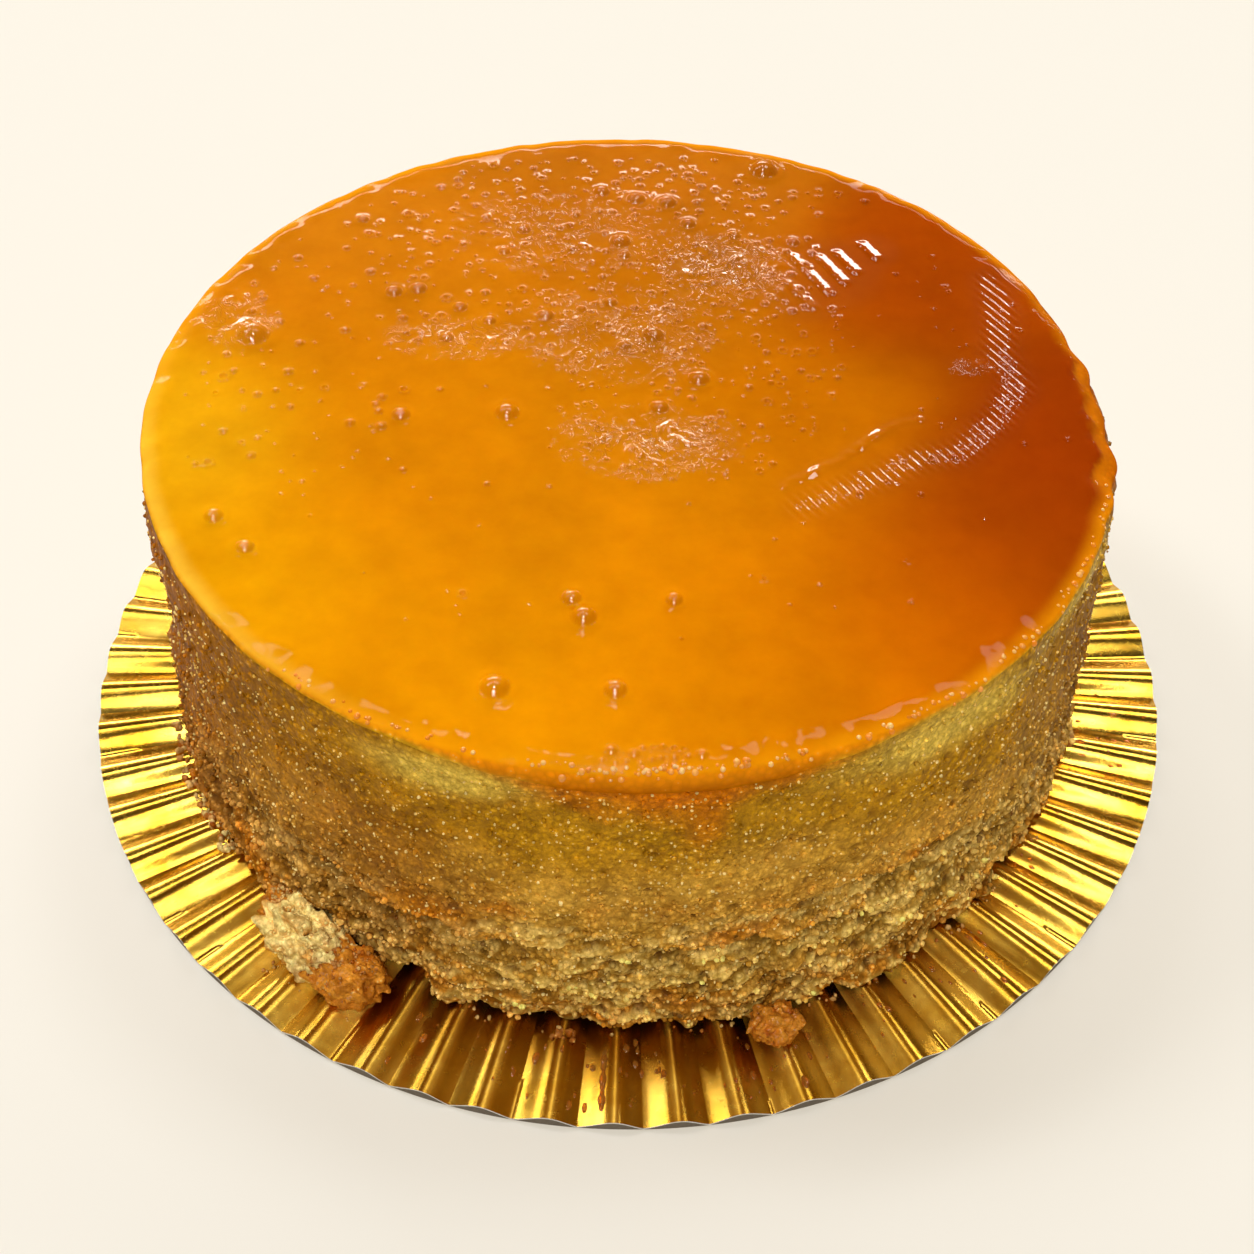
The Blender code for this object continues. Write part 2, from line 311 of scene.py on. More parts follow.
class Nodes:
    """Adds nodes to a node tree."""

    def __init__(self, tree):
        self.tree = tree

    def node(self, kind, inputs=None, **settings):
        made = self.tree.nodes.new(kind)
        for key, value in settings.items():
            setattr(made, key, value)
        for key, value in (inputs or {}).items():
            if isinstance(value, bpy.types.NodeSocket):
                self.tree.links.new(value, made.inputs[key])
            else:
                made.inputs[key].default_value = value
        return made

    def spread(self, value, low, high, new_low=0.0, new_high=1.0):
        return self.node("ShaderNodeMapRange", {
            "Value": value,
            "From Min": low,
            "From Max": high,
            "To Min": new_low,
            "To Max": new_high,
        }).outputs["Result"]

    def blend(self, share, first, second, how="MIX"):
        return self.node("ShaderNodeMix", {0: share, 6: first, 7: second},
                         data_type="RGBA", blend_type=how).outputs[2]


class Shader(Nodes):
    """Builds a Principled material node by node."""

    def __init__(self, name, **values):
        self.material = bpy.data.materials.new(name)
        self.material.use_nodes = True
        super().__init__(self.material.node_tree)
        self.base = self.tree.nodes["Principled BSDF"]
        for socket, value in values.items():
            self.base.inputs[socket.replace("_", " ")].default_value = value
        self.where = self.node("ShaderNodeTexCoord").outputs["Object"]

    def attribute(self, name, output="Fac"):
        return self.node("ShaderNodeAttribute", attribute_name=name).outputs[output]

    def noise(self, size, detail=3, roughness=0.5, distortion=0.0):
        """Noise with features of the given size in metres."""
        return self.node("ShaderNodeTexNoise", {
            "Vector": self.where,
            "Scale": 1 / size,
            "Detail": detail,
            "Roughness": roughness,
            "Distortion": distortion,
        }).outputs["Fac"]

    def voronoi(self, size, output="Distance"):
        return self.node("ShaderNodeTexVoronoi", {"Vector": self.where, "Scale": 1 / size}).outputs[output]

    def math(self, operation, first, second=0.0):
        return self.node("ShaderNodeMath", {0: first, 1: second}, operation=operation).outputs[0]

    def times(self, first, second):
        return self.math("MULTIPLY", first, second)

    def tinted(self, tone, tint):
        """A colour times another colour."""
        return self.blend(1.0, tone, tint, "MULTIPLY")

    def bump(self, height, distance, strength=1.0, below=None):
        inputs = {"Height": height, "Distance": distance, "Strength": strength}
        if below is not None:
            inputs["Normal"] = below
        return self.node("ShaderNodeBump", inputs).outputs["Normal"]

    def beads(self, tone, size):
        """A tone broken into rounded beads, with painted shade in the brown gaps between them and painted
        glints on the tips of some, and the height of the beads.
        """
        away = self.voronoi(size)
        own = self.blend(self.voronoi(size, "Color"), BEAD_DARK, BEAD_BRIGHT)
        bright = self.tinted(tone, own)
        # Painted shade in the gaps between beads
        gaps = self.tinted(tone, BEAD_GAP_SHADE)
        some = self.spread(self.voronoi(size, "Color"), 0.5, 0.62)
        # Painted highlight: pale glints on the tips of some beads
        tips = self.times(self.spread(away, 0.06, 0.2, 0.85, 0.0), some)
        bright = self.blend(tips, bright, colour4(TIP_GLINT_PALE))
        patchy = self.spread(self.noise(7 * size, 2), 0.35, 0.6, 0.3, 0.7)
        open_crumb = self.math("ADD", patchy, self.times(self.attribute("open"), 0.4))
        share = self.times(self.spread(away, 0.28, 0.7), open_crumb)
        height = self.spread(self.times(away, away), 0.0, 0.26, 1.0, 0.0)
        return self.blend(share, bright, gaps), self.times(height, open_crumb)

    def link(self, value, socket):
        self.tree.links.new(value, self.base.inputs[socket])


def colour4(colour):
    return (*[float(part) for part in colour], 1.0)


# The foil board

BOARD_STEPS = 16
FOIL_EDGE = 0.28 * MM
EDGE_RECESS = 0.25 * MM
FOIL_ROWS = 26
# How far the flutes lean at most, as a share of one flute
FLUTE_LEAN = 0.14
GOLD = rgb(242, 200, 84)
GOLD_DEEP = rgb(222, 168, 42)
SYRUP_STAIN = rgb(150, 92, 14)


def flute_height(share):
    """Height of the foil across one flute, from valley to valley."""
    wave = np.sin(np.pi * share)
    return VALLEY_TOP + (CREST_TOP - VALLEY_TOP) * (
        (1 - HUMP_ROUNDNESS) * wave + HUMP_ROUNDNESS * wave * wave)


def board_surface(angle, radius):
    """Height of the foil, with flutes that differ a little from each other."""
    turn = (angle - FIRST_VALLEY) / math.tau * FLUTES
    flute = np.floor(turn)
    cell = np.stack([flute % FLUTES, 0 * flute, 0 * flute], -1)
    lean = (scatter_number(cell.astype(np.int64), 11) - 0.5) * FLUTE_LEAN
    share = np.clip(turn - flute, 0, 1)
    full = flute_height(np.clip(share + lean * np.sin(np.pi * share) * 0.9, 0, 1))
    fade = ease((radius - FLAT_RADIUS) / (FULL_FLUTE_RADIUS - FLAT_RADIUS))
    return CREST_TOP + (full - CREST_TOP) * fade


def make_board():
    """The fluted board: foil on top, a paper edge and grey card below."""
    columns = FLUTES * BOARD_STEPS
    angle = FIRST_VALLEY + math.tau * np.arange(columns) / columns
    radii = np.linspace(BOARD_RADIUS, FLAT_RADIUS, FOIL_ROWS)
    rim = board_surface(angle, BOARD_RADIUS)
    rows = [
        (BOARD_RADIUS - EDGE_RECESS, 0 * rim),
        (BOARD_RADIUS - EDGE_RECESS, (rim - FOIL_EDGE) * 0.5),
        (BOARD_RADIUS - EDGE_RECESS, rim - FOIL_EDGE),
        (BOARD_RADIUS, rim - FOIL_EDGE),
        (BOARD_RADIUS, rim),
    ]
    rows += [(radius, board_surface(angle, radius)) for radius in radii[1:]]
    points = np.concatenate([
        np.stack([radius * np.cos(angle), radius * np.sin(angle), height], -1)
        for radius, height in rows
    ])
    board = new_object("foil_board", points, drum_faces(len(rows), columns))
    smooth(board, 34)
    # Material slots: 0 foil on top, 1 its paper edge, 2 the card below, and the same on the caps
    level = np.repeat(np.arange(len(rows) - 1), columns)
    slots = np.where(level < 2, 2, np.where(level < 4, 1, 0))
    slots = np.concatenate([slots, [2, 0]]).astype(np.int32)
    board.data.polygons.foreach_set("material_index", slots)
    turn = np.arctan2(points[:, 1], points[:, 0])
    reach = np.hypot(points[:, 0], points[:, 1])
    patchy = rough_noise(points / (7 * MM), 31)
    front = turn_hill(turn, -88, 62)
    near = 1 - ease((reach - 84 * MM + patchy * 3 * MM) / (13 * MM))
    measure(board, "stain", np.clip(front * near * 1.1, 0, 1))
    return board


def foil_material():
    """Gold foil brushed around the board, scuffed and dented, and stained by syrup at the front."""
    foil = Shader("gold_foil", Metallic=1.0, Anisotropic=0.95, Anisotropic_Rotation=0.25)
    around = foil.node("ShaderNodeTangent", direction_type="RADIAL", axis="Z")
    foil.link(around.outputs["Tangent"], "Tangent")
    patches = foil.noise(8 * MM, 4, 0.6)
    scuffs = foil.noise(1.8 * MM, 3, 0.6)
    tone = foil.blend(foil.spread(patches, 0.35, 0.7), colour4(GOLD), colour4(GOLD_DEEP))
    stain = foil.attribute("stain")
    tone = foil.blend(foil.spread(stain, 0.05, 0.9, 0.0, 0.8), tone, colour4(SYRUP_STAIN))
    foil.link(tone, "Base Color")
    foil.link(foil.spread(scuffs, 0.3, 0.75, 0.23, 0.29), "Roughness")
    dents = foil.noise(3.2 * MM, 3, 0.55, distortion=0.6)
    foil.link(foil.bump(dents, 0.06 * MM, 0.5), "Normal")
    return foil.material


def card_material(name, colour, grain):
    """Plain pressed fibre."""
    card = Shader(name, Roughness=0.85)
    fibres = card.noise(grain, 5, 0.7)
    dark = colour4(colour * 0.72)
    card.link(card.blend(card.spread(fibres, 0.35, 0.65), dark, colour4(colour)), "Base Color")
    card.link(card.bump(fibres, 0.08 * MM, 0.6), "Normal")
    return card.material


# The crumb side

SIDE_COLUMNS = 880
SIDE_ROWS = 108
CARAMEL_OVERLAP = 1.1 * MM
TUCK_ROWS = [(0.6 * MM, 0.0), (2.5 * MM, 0.25 * MM), (8 * MM, 0.3 * MM)]
OLIVE = rgb(180, 132, 18)
GOLDEN = rgb(208, 162, 66)
TOASTED = rgb(206, 138, 44)
SHARD_PALE = rgb(228, 200, 120)
# Painted shade for the crumb's pits and the tucked rings under the side
PIT_SHADE_BROWN = rgb(104, 52, 0)
# Brown of the left side: partly soaked caramel, partly painted shade
LEFT_BROWN = rgb(144, 80, 2)
STAIN_ORANGE = rgb(184, 112, 8)
# Painted shade for the hollows under the side's ledges
HOLLOW_SHADE_OLIVE = rgb(134, 96, 26)
CUSTARD_PALE = rgb(224, 194, 86)
GLAZE = rgb(206, 112, 3)
# Darker brown of the right side: painted shade
RIGHT_BROWN = rgb(134, 84, 4)
# How deep caramel soaks the side, and how much deeper at the front: angle, half width, depth
SOAK_DEPTH = 1.4 * MM
SOAK_FRONT = (-86, 28, 9.0 * MM)
SOAK_RIGHT = (5, 36, 3.4 * MM)

# Caramel-soaked stains on the side: angle, height, half width, half height; lengths in mm
STAINS = [
    (-112, 27, 9, 7), (-104, 31, 5, 4), (-78, 24, 8, 5), (-85, 9, 5, 4), (-55, 30, 5, 3),
    (-96, 58, 9, 3), (-82, 52, 4, 7), (-140, 12, 9, 6), (20, 30, 12, 6), (95, 22, 16, 7),
    (160, 34, 12, 6),
]
# Bands of smooth pale custard under the caramel, in the same terms
PALE_BANDS = [(-109, 59.5, 14, 6), (-54, 58, 20, 8), (-28, 60, 16, 6), (60, 60, 20, 4), (170, 62, 25, 3)]


def spots(angle, z, patches):
    """Where any of several soft oval patches lies on the side."""
    total = np.zeros_like(z)
    for centre, height, half, half_height in patches:
        rise = (z - height * MM) / (half_height * MM)
        away = np.hypot(turned_from(angle, centre) / half, rise)
        total = np.maximum(total, hill(away))
    return total


def ledge_bands(angle, z):
    """The glazed lip over each ledge, and the shadowed hollow below it."""
    lip = np.zeros_like(z)
    hollow = np.zeros_like(z)
    for centre, half, height, depth in LEDGES:
        line = height + LEDGE_RISE / 2 + LEDGE_WAVE * np.sin(7 * angle + centre)
        line = line + 0.7 * MM * np.sin(31 * angle + centre)
        here = np.sqrt(turn_hill(angle, centre, half)) * depth / (2 * MM)
        lip = np.maximum(lip, here * ease((z - line + 0.3 * MM) / (0.8 * MM))
                         * (1 - ease((z - line) / (5 * MM))))
        hollow = np.maximum(hollow, here * ease((line - z + 0.3 * MM) / (0.8 * MM))
                            * (1 - ease((line - z) / (4.5 * MM))))
    return lip, hollow


def crumb_relief(points, angle, z):
    """How far fine crumb stands out of the side, and the share of pit, shard and lip there."""
    low = 1 - ease((z - 20 * MM) / (20 * MM))
    smoothness = spots(angle, z, PALE_BANDS)
    patchy = rough_noise(points / (9 * MM), 3)
    lip, hollow = ledge_bands(angle, z)
    near, tag = cells(points / (1.3 * MM), 21)
    grains = (0.55 - near) * 0.46 * MM * (0.5 + tag)
    squash = points * np.array([1, 1, 1.8])
    near, tag = cells(squash / (3.0 * MM), 41)
    pits = ease(1.15 - near / 0.42) * (tag < 0.14 + 0.26 * low + 0.12 * patchy)
    near, tag = cells(squash / (1.8 * MM), 61)
    small_pits = ease(1.2 - near / 0.4) * (tag < 0.18 + 0.22 * low + 0.15 * patchy)
    turned = points.copy()
    turned[:, 2] += 1.5 * MM * soft_noise(points / (14 * MM), 19)
    bend = rough_noise(points / (4 * MM), 23, 2)[:, None] * 0.35
    flakes = turned * np.array([1, 1, 2.7]) / (3.6 * MM) + bend
    near, shard = cells(flakes, 81)
    plates = (shard - 0.45) * 1.15 * MM * ease((0.75 - near) / 0.3) * low
    layered = turned * np.array([1, 1, 4.5])
    strata = rough_noise(layered / (6 * MM), 85, 2) * (0.25 + 0.75 * low)
    relief = grains * (0.6 + 0.4 * low) + plates + strata * 0.5 * MM
    relief -= (0.9 * pits + 0.5 * small_pits) * MM * (0.45 + 0.45 * low)
    relief += rough_noise(points / (3.4 * MM), 91) * 0.32 * MM
    relief *= 1 - 0.7 * smoothness
    relief += (0.75 * lip - 0.9 * hollow) * MM
    depth = np.clip(pits + 0.7 * small_pits, 0, 1) * (1 - 0.7 * smoothness)
    return relief, depth, shard * low, lip, hollow


def soaked(angle, depth):
    """How far caramel has soaked the side at a depth below the top: 1 is all caramel."""
    streaks = rough_noise(np.stack([angle * 16, 0 * angle, 0 * angle], -1), 9)
    run = SOAK_DEPTH + SOAK_FRONT[2] * turn_hill(angle, *SOAK_FRONT[:2])
    run = run + SOAK_RIGHT[2] * turn_hill(angle, *SOAK_RIGHT[:2])
    return 1 - ease(depth / (run * (1 + 0.3 * streaks)) - 0.35)


def side_colours(points, angle, z, top_edge, relief, marks):
    """Olive-yellow above, pale and golden shards in the middle, toasted below; browner to the left, partly
    soaked caramel and partly painted shade; the right side painted darker as shade; crumb relief painted
    lighter where it stands out, with pits and hollows in painted shade.
    """
    depth, shard, lip, hollow = marks
    wander = rough_noise(points / (11 * MM), 5) * 8 * MM
    fine = rough_noise(points / (1.8 * MM), 7)
    blotch = rough_noise(points / (5.5 * MM), 6)
    high = ease((z + wander - 34 * MM) / (16 * MM))
    low = 1 - ease((z + wander * 0.5 - 5 * MM) / (12 * MM))
    colour = mix(GOLDEN, OLIVE, high)
    colour = mix(colour, TOASTED, np.clip(low * 0.8 + 0.5 * blotch * (1 - high), 0, 1))
    colour = mix(colour, SHARD_PALE, ease((shard - 0.3) / 0.4) * 0.75)
    # Partly painted shade: the left side browner for the shade it lies in, and partly for soaked caramel
    left = turn_hill(angle, -168, 70)
    colour = mix(colour, LEFT_BROWN, left * 0.92)
    middle = ease((z - 8 * MM) / (10 * MM)) * (1 - ease((z - 42 * MM) / (12 * MM)))
    right = np.maximum(middle, ease((z - 8 * MM) / (10 * MM)) * 0.75)
    # Painted shade: the right side darker brown through its middle
    colour = mix(colour, RIGHT_BROWN, turn_hill(angle, -2, 56) * right)
    colour = mix(colour, LEFT_BROWN, turn_hill(angle, -118, 20) * middle * 0.5)
    stain = spots(angle, z + wander * 0.4, STAINS)
    orange = np.clip(stain * 1.2 + fine * 0.2, 0, 1) * 0.75
    orange = np.maximum(orange, lip * 0.5)
    colour = mix(colour, STAIN_ORANGE, orange)
    # Painted shade: the hollow under each ledge tinted dark olive
    colour = mix(colour, HOLLOW_SHADE_OLIVE, hollow * 0.7)
    pale = spots(angle, z, PALE_BANDS)
    colour = mix(colour, CUSTARD_PALE, np.clip(pale * 1.3, 0, 1) * 0.85)
    glaze = soaked(angle, top_edge - z)
    colour = mix(colour, mix(GLAZE, SHELF_BROWN, turn_hill(angle, 4, 36)), glaze * 0.9)
    # Painted light and shade: crumb lighter where its relief stands out and darker where it sinks, more
    # strongly low down
    lit = np.clip(0.5 + relief / (1.3 * MM), 0, 1)
    deep = 0.3 * (1 - ease((z - 16 * MM) / (18 * MM)))
    colour = colour * (0.72 - deep + (0.55 + 1.6 * deep) * lit + 0.12 * fine)[:, None]
    # Painted shade: pits tinted dark brown
    return mix(colour, PIT_SHADE_BROWN, depth * (0.6 + deep))


def side_radii(angle, z):
    """side_radius on a grid, worked out at every other place and filled in between."""
    columns = np.arange(0, SIDE_COLUMNS, 2)
    rows = np.append(np.arange(0, SIDE_ROWS - 1, 2), SIDE_ROWS - 1)
    known = np.array([[side_radius(angle[c], z[r, c]) for c in columns] for r in rows])
    wide = np.zeros((len(rows), SIDE_COLUMNS))
    wide[:, ::2] = known
    wide[:, 1::2] = (known + np.roll(known, -1, axis=1)) / 2
    every = np.arange(SIDE_ROWS)
    return np.stack([np.interp(every, rows, column) for column in wide.T], -1)


def make_sponge():
    """The crumb side, and its points, colours and ways out for the grains on it."""
    angle = math.tau * np.arange(SIDE_COLUMNS) / SIDE_COLUMNS
    thick = caramel_edge_thickness(angle)
    rim_z = top_height(*on_cake(angle, TOP_RADIUS)) - thick + CARAMEL_OVERLAP
    share = np.linspace(0, 1, SIDE_ROWS)[:, None]
    z = BASE_Z + (rim_z - BASE_Z) * share
    radius = side_radii(angle, z)
    turns = np.broadcast_to(angle, z.shape)
    points = np.stack([*on_cake(turns, radius), z], -1).reshape(-1, 3)
    flat_turns = turns.reshape(-1)
    flat_z = z.reshape(-1)
    relief, *marks = crumb_relief(points, flat_turns, flat_z)
    tuck = 1 - ease((share - 0.94) / 0.05)
    relief = relief * np.broadcast_to(0.25 + 0.75 * tuck, z.shape).reshape(-1)
    grain = relief
    bulge = np.clip(rim_reach(angle) - TOP_RADIUS, 0, LIP) * ease((share - 0.92) / 0.035)
    bulge = bulge - 0.7 * MM * ease((share - 0.983) / 0.017)
    relief = relief + bulge.reshape(-1)
    out = level(np.cos(flat_turns), np.sin(flat_turns))
    points += out * relief[:, None]
    ragged = rough_noise(points / (2.6 * MM), 17) * 0.5 * MM
    foot = 1 - ease((flat_z - BASE_Z) / (3 * MM))
    points[:, 2] += np.clip(ragged + 0.25 * MM, -0.25 * MM, 1) * foot
    top_edge = np.broadcast_to(rim_z + thick - CARAMEL_OVERLAP, z.shape).reshape(-1)
    colours = side_colours(points, flat_turns, flat_z, top_edge, grain, marks)

    first = points[:SIDE_COLUMNS]
    under = []
    for inward, rise in reversed(TUCK_ROWS):
        ring = first.copy()
        ring[:, :2] -= out[:SIDE_COLUMNS, :2] * inward
        ring[:, 2] = np.minimum(first[:, 2], BASE_Z) + rise * 0.5
        under.append(ring)
    last = points[-SIDE_COLUMNS:].copy()
    last[:, :2] -= out[:SIDE_COLUMNS, :2] * 4 * MM
    everything = np.concatenate(under + [points, last])
    rows = len(everything) // SIDE_COLUMNS
    sponge = new_object("sponge_side", everything, drum_faces(rows, SIDE_COLUMNS))
    smooth(sponge)
    # Painted shade: the tucked rings under the base in dark brown
    dark = np.tile(PIT_SHADE_BROWN, (len(under) * SIDE_COLUMNS, 1))
    top = np.tile(OLIVE, (SIDE_COLUMNS, 1))
    paint(sponge, "tint", np.concatenate([dark, colours, top]))
    open_crumb = 1 - ease((everything[:, 2] - 18 * MM) / (26 * MM))
    measure(sponge, "open", open_crumb)
    return sponge, points, colours, out


BEAD_SIZE = 1.2 * MM
BEAD_HEIGHT = 0.45 * MM
SPECK_DARK = (0.66, 0.60, 0.45, 1)
SPECK_BRIGHT = (1.22, 1.22, 1.25, 1)


def crumb_material(name, roughness, coat):
    """Moist crumb in the mesh's tints: specks, rounded beads with painted shade in their gaps and painted
    glints on some tips, and a patchy wet coat.
    """
    crumb = Shader(name, Roughness=roughness, Coat_Weight=coat, Coat_Roughness=0.2, Coat_IOR=1.4,
                   Specular_IOR_Level=0.02)
    tint = crumb.attribute("tint", "Color")
    specks = crumb.noise(0.55 * MM, 4, 0.65)
    tone = crumb.blend(crumb.spread(specks, 0.3, 0.7), SPECK_DARK, SPECK_BRIGHT)
    tone, domes = crumb.beads(crumb.tinted(tint, tone), BEAD_SIZE)
    crumb.link(tone, "Base Color")
    fine = crumb.bump(crumb.noise(0.28 * MM, 3, 0.6), 0.06 * MM, 0.6)
    relief = crumb.bump(domes, BEAD_HEIGHT, 1.0, fine)
    crumb.link(relief, "Normal")
    crumb.link(relief, "Coat Normal")
    wet = crumb.noise(1.6 * MM, 3, 0.6)
    crumb.link(crumb.spread(wet, 0.35, 0.65, roughness - 0.2, roughness + 0.15), "Roughness")
    return crumb.material


# Loose grains of crumb that stand out of the side

def ball(subdivisions):
    """Points and triangles of a unit icosphere."""
    mesh = bmesh.new()
    bmesh.ops.create_icosphere(mesh, subdivisions=subdivisions, radius=1)
    points = np.array([vert.co[:] for vert in mesh.verts])
    faces = np.array([[vert.index for vert in face.verts] for face in mesh.faces])
    mesh.free()
    return points, faces


def copies(name, points, triangles):
    """One smooth mesh of many shapes: their points in rows, and the triangles that each has."""
    faces = triangles[None] + (np.arange(len(points)) * points.shape[1])[:, None, None]
    made = new_object(name, points.reshape(-1, 3), faces.reshape(-1, 3).tolist())
    smooth(made)
    return made


def make_grains(name, centres, sizes, colours, seed, subdivisions=1):
    """Many small uneven lumps, each with its own colour, as one mesh."""
    draw = np.random.default_rng(seed)
    unit, triangles = ball(subdivisions)
    count = len(centres)
    shape = unit[None] * draw.uniform(0.75, 1.25, (count, 1, 3))
    shape = shape * draw.uniform(0.8, 1.2, (count, len(unit), 1))
    grains = copies(name, centres[:, None] + shape * sizes[:, None, None], triangles)
    paint(grains, "tint", np.repeat(colours, len(unit), axis=0))
    return grains


GRAIN_TOP = 61 * MM
SIDE_GRAINS = 9800
GLINTS = 6400
# Painted highlights: pale and near-white colours of the side's glints
GLINT_PALE = rgb(222, 178, 76)
GLINT_WHITE = rgb(252, 234, 170)


def make_side_grains(points, colours, out):
    """Grains in the side's colours, its painted light and shade included, more of them low down."""
    draw = np.random.default_rng(SEED)
    z = points[:, 2]
    weight = 0.6 + (1 - ease((z - 22 * MM) / (24 * MM)))
    weight = weight * (z < GRAIN_TOP)
    chosen = draw.choice(len(points), SIDE_GRAINS, replace=False, p=weight / weight.sum())
    sizes = draw.uniform(0.22, 0.6, SIDE_GRAINS) * MM * (0.8 + 0.3 * (z[chosen] < 25 * MM))
    jitter = draw.uniform(-0.3, 0.3, (SIDE_GRAINS, 3)) * MM
    centres = points[chosen] + out[chosen] * (sizes * draw.uniform(-0.3, 0.35, SIDE_GRAINS))[:, None]
    tone = draw.uniform(0.85, 1.4, (SIDE_GRAINS, 1))
    return make_grains("side_grains", centres + jitter, sizes, colours[chosen] * tone, SEED)


def make_glints(points, out):
    """Tiny beads all over the side, painted pale and near white as the wet crumb's glinting highlights."""
    draw = np.random.default_rng(SEED + 2)
    z = points[:, 2]
    chosen = draw.choice(np.flatnonzero(z < GRAIN_TOP), GLINTS, replace=False)
    sizes = draw.uniform(0.11, 0.32, GLINTS) * MM
    centres = points[chosen] + out[chosen] * (sizes * 0.2)[:, None]
    colours = mix(GLINT_PALE, GLINT_WHITE, draw.random(GLINTS))
    return make_grains("side_glints", centres, sizes, colours, SEED + 3)


# The caramel on top

RIM_COLUMNS = 640
ROLL_STEPS = 4
ROLL_WIDTH = 0.9 * MM
RIM_FALL = 3.2 * MM
# The scalloped right edge: middle and half width, its radius, and the bites out of it in mm
SCALLOPS = (7, 31)
SCALLOP_RADIUS = 80.1 * MM
BITES = [
    (27, 4.5, 0.5), (20, 3.5, 0.6), (13.5, 3, 0.5), (7, 3.4, 1.5), (0.6, 3.4, 1.9), (-4.6, 3.0, 1.3),
    (-11.8, 3.4, 1.4),
]
SHELF_DEPTH = 0.8 * MM
SHELF_STEP = 0.7 * MM
# The mesh of the top: its half width, where the rim's part starts, and the distance of its points
GRID_HALF = 84 * MM
RIM_FROM = 79 * MM
RIM_PITCH = 0.62 * MM
COARSE_PITCH = 1.35 * MM
FINE_PITCH = 0.62 * MM
RIPPLE_PITCH = 0.42 * MM
# How rough a place is where the mesh turns fine, and where it turns finest
FINE_FROM = 0.16
FINEST_FROM = 0.4

# Where the caramel set wrinkled: centre and half sizes in mm, and how strongly
ROUGH_ZONES = [
    (17, 40, 17, 15, 1.0), (-12, 50, 36, 22, 0.5), (-31, 17, 19, 9, 0.75), (3, -10, 23, 14, 0.75),
    (-2, 20, 30, 24, 0.55), (-70, 22, 12, 14, 0.55), (60, 11.5, 7, 4, 0.6),
]
# Wrinkles: size in mm, how far they bend, seed, sharpness, height in mm
WRINKLES = [(3.6, 0.9, 7, 5, 0.42), (2.0, 0.8, 8, 4, 0.24)]
# Parallel ripples run this way; the ribbon follows the route and the bars stand apart
RIPPLE_ACROSS = Vector((0.84, 0.55))
RIBBON = [(67, 37), (67, 27), (65.6, 16), (67.5, 6.6), (63.3, -1.8), (55.2, -11.8), (48.9, -12.8),
          (41, -18.1), (28.3, -25.5)]
RIBBON_HALF_WIDTH = 4.2 * MM
RIPPLE_LENGTH = 1.6 * MM
# Bars: middle and half length in mm
BARS = [(31.7, 32, 5.6), (33.8, 38.5, 8.2), (37.9, 39.9, 6.0), (40.7, 42.4, 4.8), (45.2, 46.2, 3.6)]
BAR_ACROSS = Vector((0.88, 0.475))
BAR_HALF_WIDTH = 1.15 * MM
# A low uneven crease inside the ribbon
CREASE = [(25.5, -20.2), (34.6, -14.1), (40.7, -8.2), (44.5, -4.6), (49.3, -2.7)]
CREASE_HALF_WIDTH = 1.5 * MM
CREASE_HEIGHT = 0.2 * MM
ROUTES = ((RIBBON, RIBBON_HALF_WIDTH), (CREASE, CREASE_HALF_WIDTH))
BAR_HEIGHT = 0.46 * MM
# Broad swells of the top: centre, half sizes and height in mm
SWELLS = [(46, 20, 26, 30, 0.15), (8, 52, 34, 22, 0.25), (-50, 40, 30, 26, 0.2)]

# Fields of colour on the top: x, y, reach in mm, then the colour
CARAMEL_FIELDS = [
    (-20, -20, 42, (230, 138, 4)), (-78, -14, 18, (254, 184, 14)), (-62, -46, 18, (250, 172, 4)),
    (-20, -68, 26, (246, 158, 2)), (20, -60, 26, (234, 136, 1)), (-45, 45, 26, (224, 130, 10)),
    (0, 62, 26, (208, 116, 10)), (5, 28, 22, (206, 116, 6)), (30, 0, 18, (208, 114, 1)),
    (44, 28, 15, (172, 68, 1)), (55, 45, 17, (176, 70, 1)), (70, -8, 17, (164, 58, 2)),
    (60, -32, 18, (170, 64, 2)), (45, -50, 20, (206, 94, 1)),
]
THIN_EDGE = rgb(252, 164, 10)
# Dark brown of the scallops' step, partly painted shade there; also used in the right side's glaze
SHELF_BROWN = rgb(166, 78, 4)
SHELF_YELLOW = rgb(206, 118, 10)
EDGE_CUSTARD = rgb(200, 150, 26)
FLAT_GLOSS = 0.06
BACK_GLOSS = 0.18
ROUGH_GLOSS = 0.95
RIPPLE_GLOSS = 0.4
BUBBLE_GLOSS = 1.0
TOP_TONE = 0.74
RIM_ORANGE = rgb(240, 146, 10)
YELLOW_BAND = rgb(240, 190, 60)
CLOUD_DARK = (0.93, 0.9, 0.85, 1)
CLOUD_BRIGHT = (1.05, 1.07, 1.1, 1)


def drawn_in(draw, cx, cy, half_x, half_y):
    """A place drawn evenly inside an oval."""
    angle = draw.uniform(0, math.tau)
    reach = math.sqrt(draw.random())
    return cx + half_x * reach * math.cos(angle), cy + half_y * reach * math.sin(angle)


def blister_list():
    """The largest blisters, then more of them drawn inside the bubbly band."""
    draw = random.Random(SEED)
    blisters = [(x * MM, y * MM, radius * MM) for x, y, radius in BLISTERS]
    while len(blisters) < len(BLISTERS) + BAND_BLISTERS:
        x, y = drawn_in(draw, *BAND_CENTRE, *BAND_HALF)
        radius = draw.uniform(*BAND_RADII)
        if all(math.hypot(x - bx, y - by) > radius + br + MM for bx, by, br in blisters):
            blisters.append((x, y, radius))
    return blisters


def oval_distance(x, y, cx, cy, half_x, half_y):
    """How far places lie from the middle of an oval given in mm: 1 is its edge."""
    return np.hypot((x - cx * MM) / (half_x * MM), (y - cy * MM) / (half_y * MM))


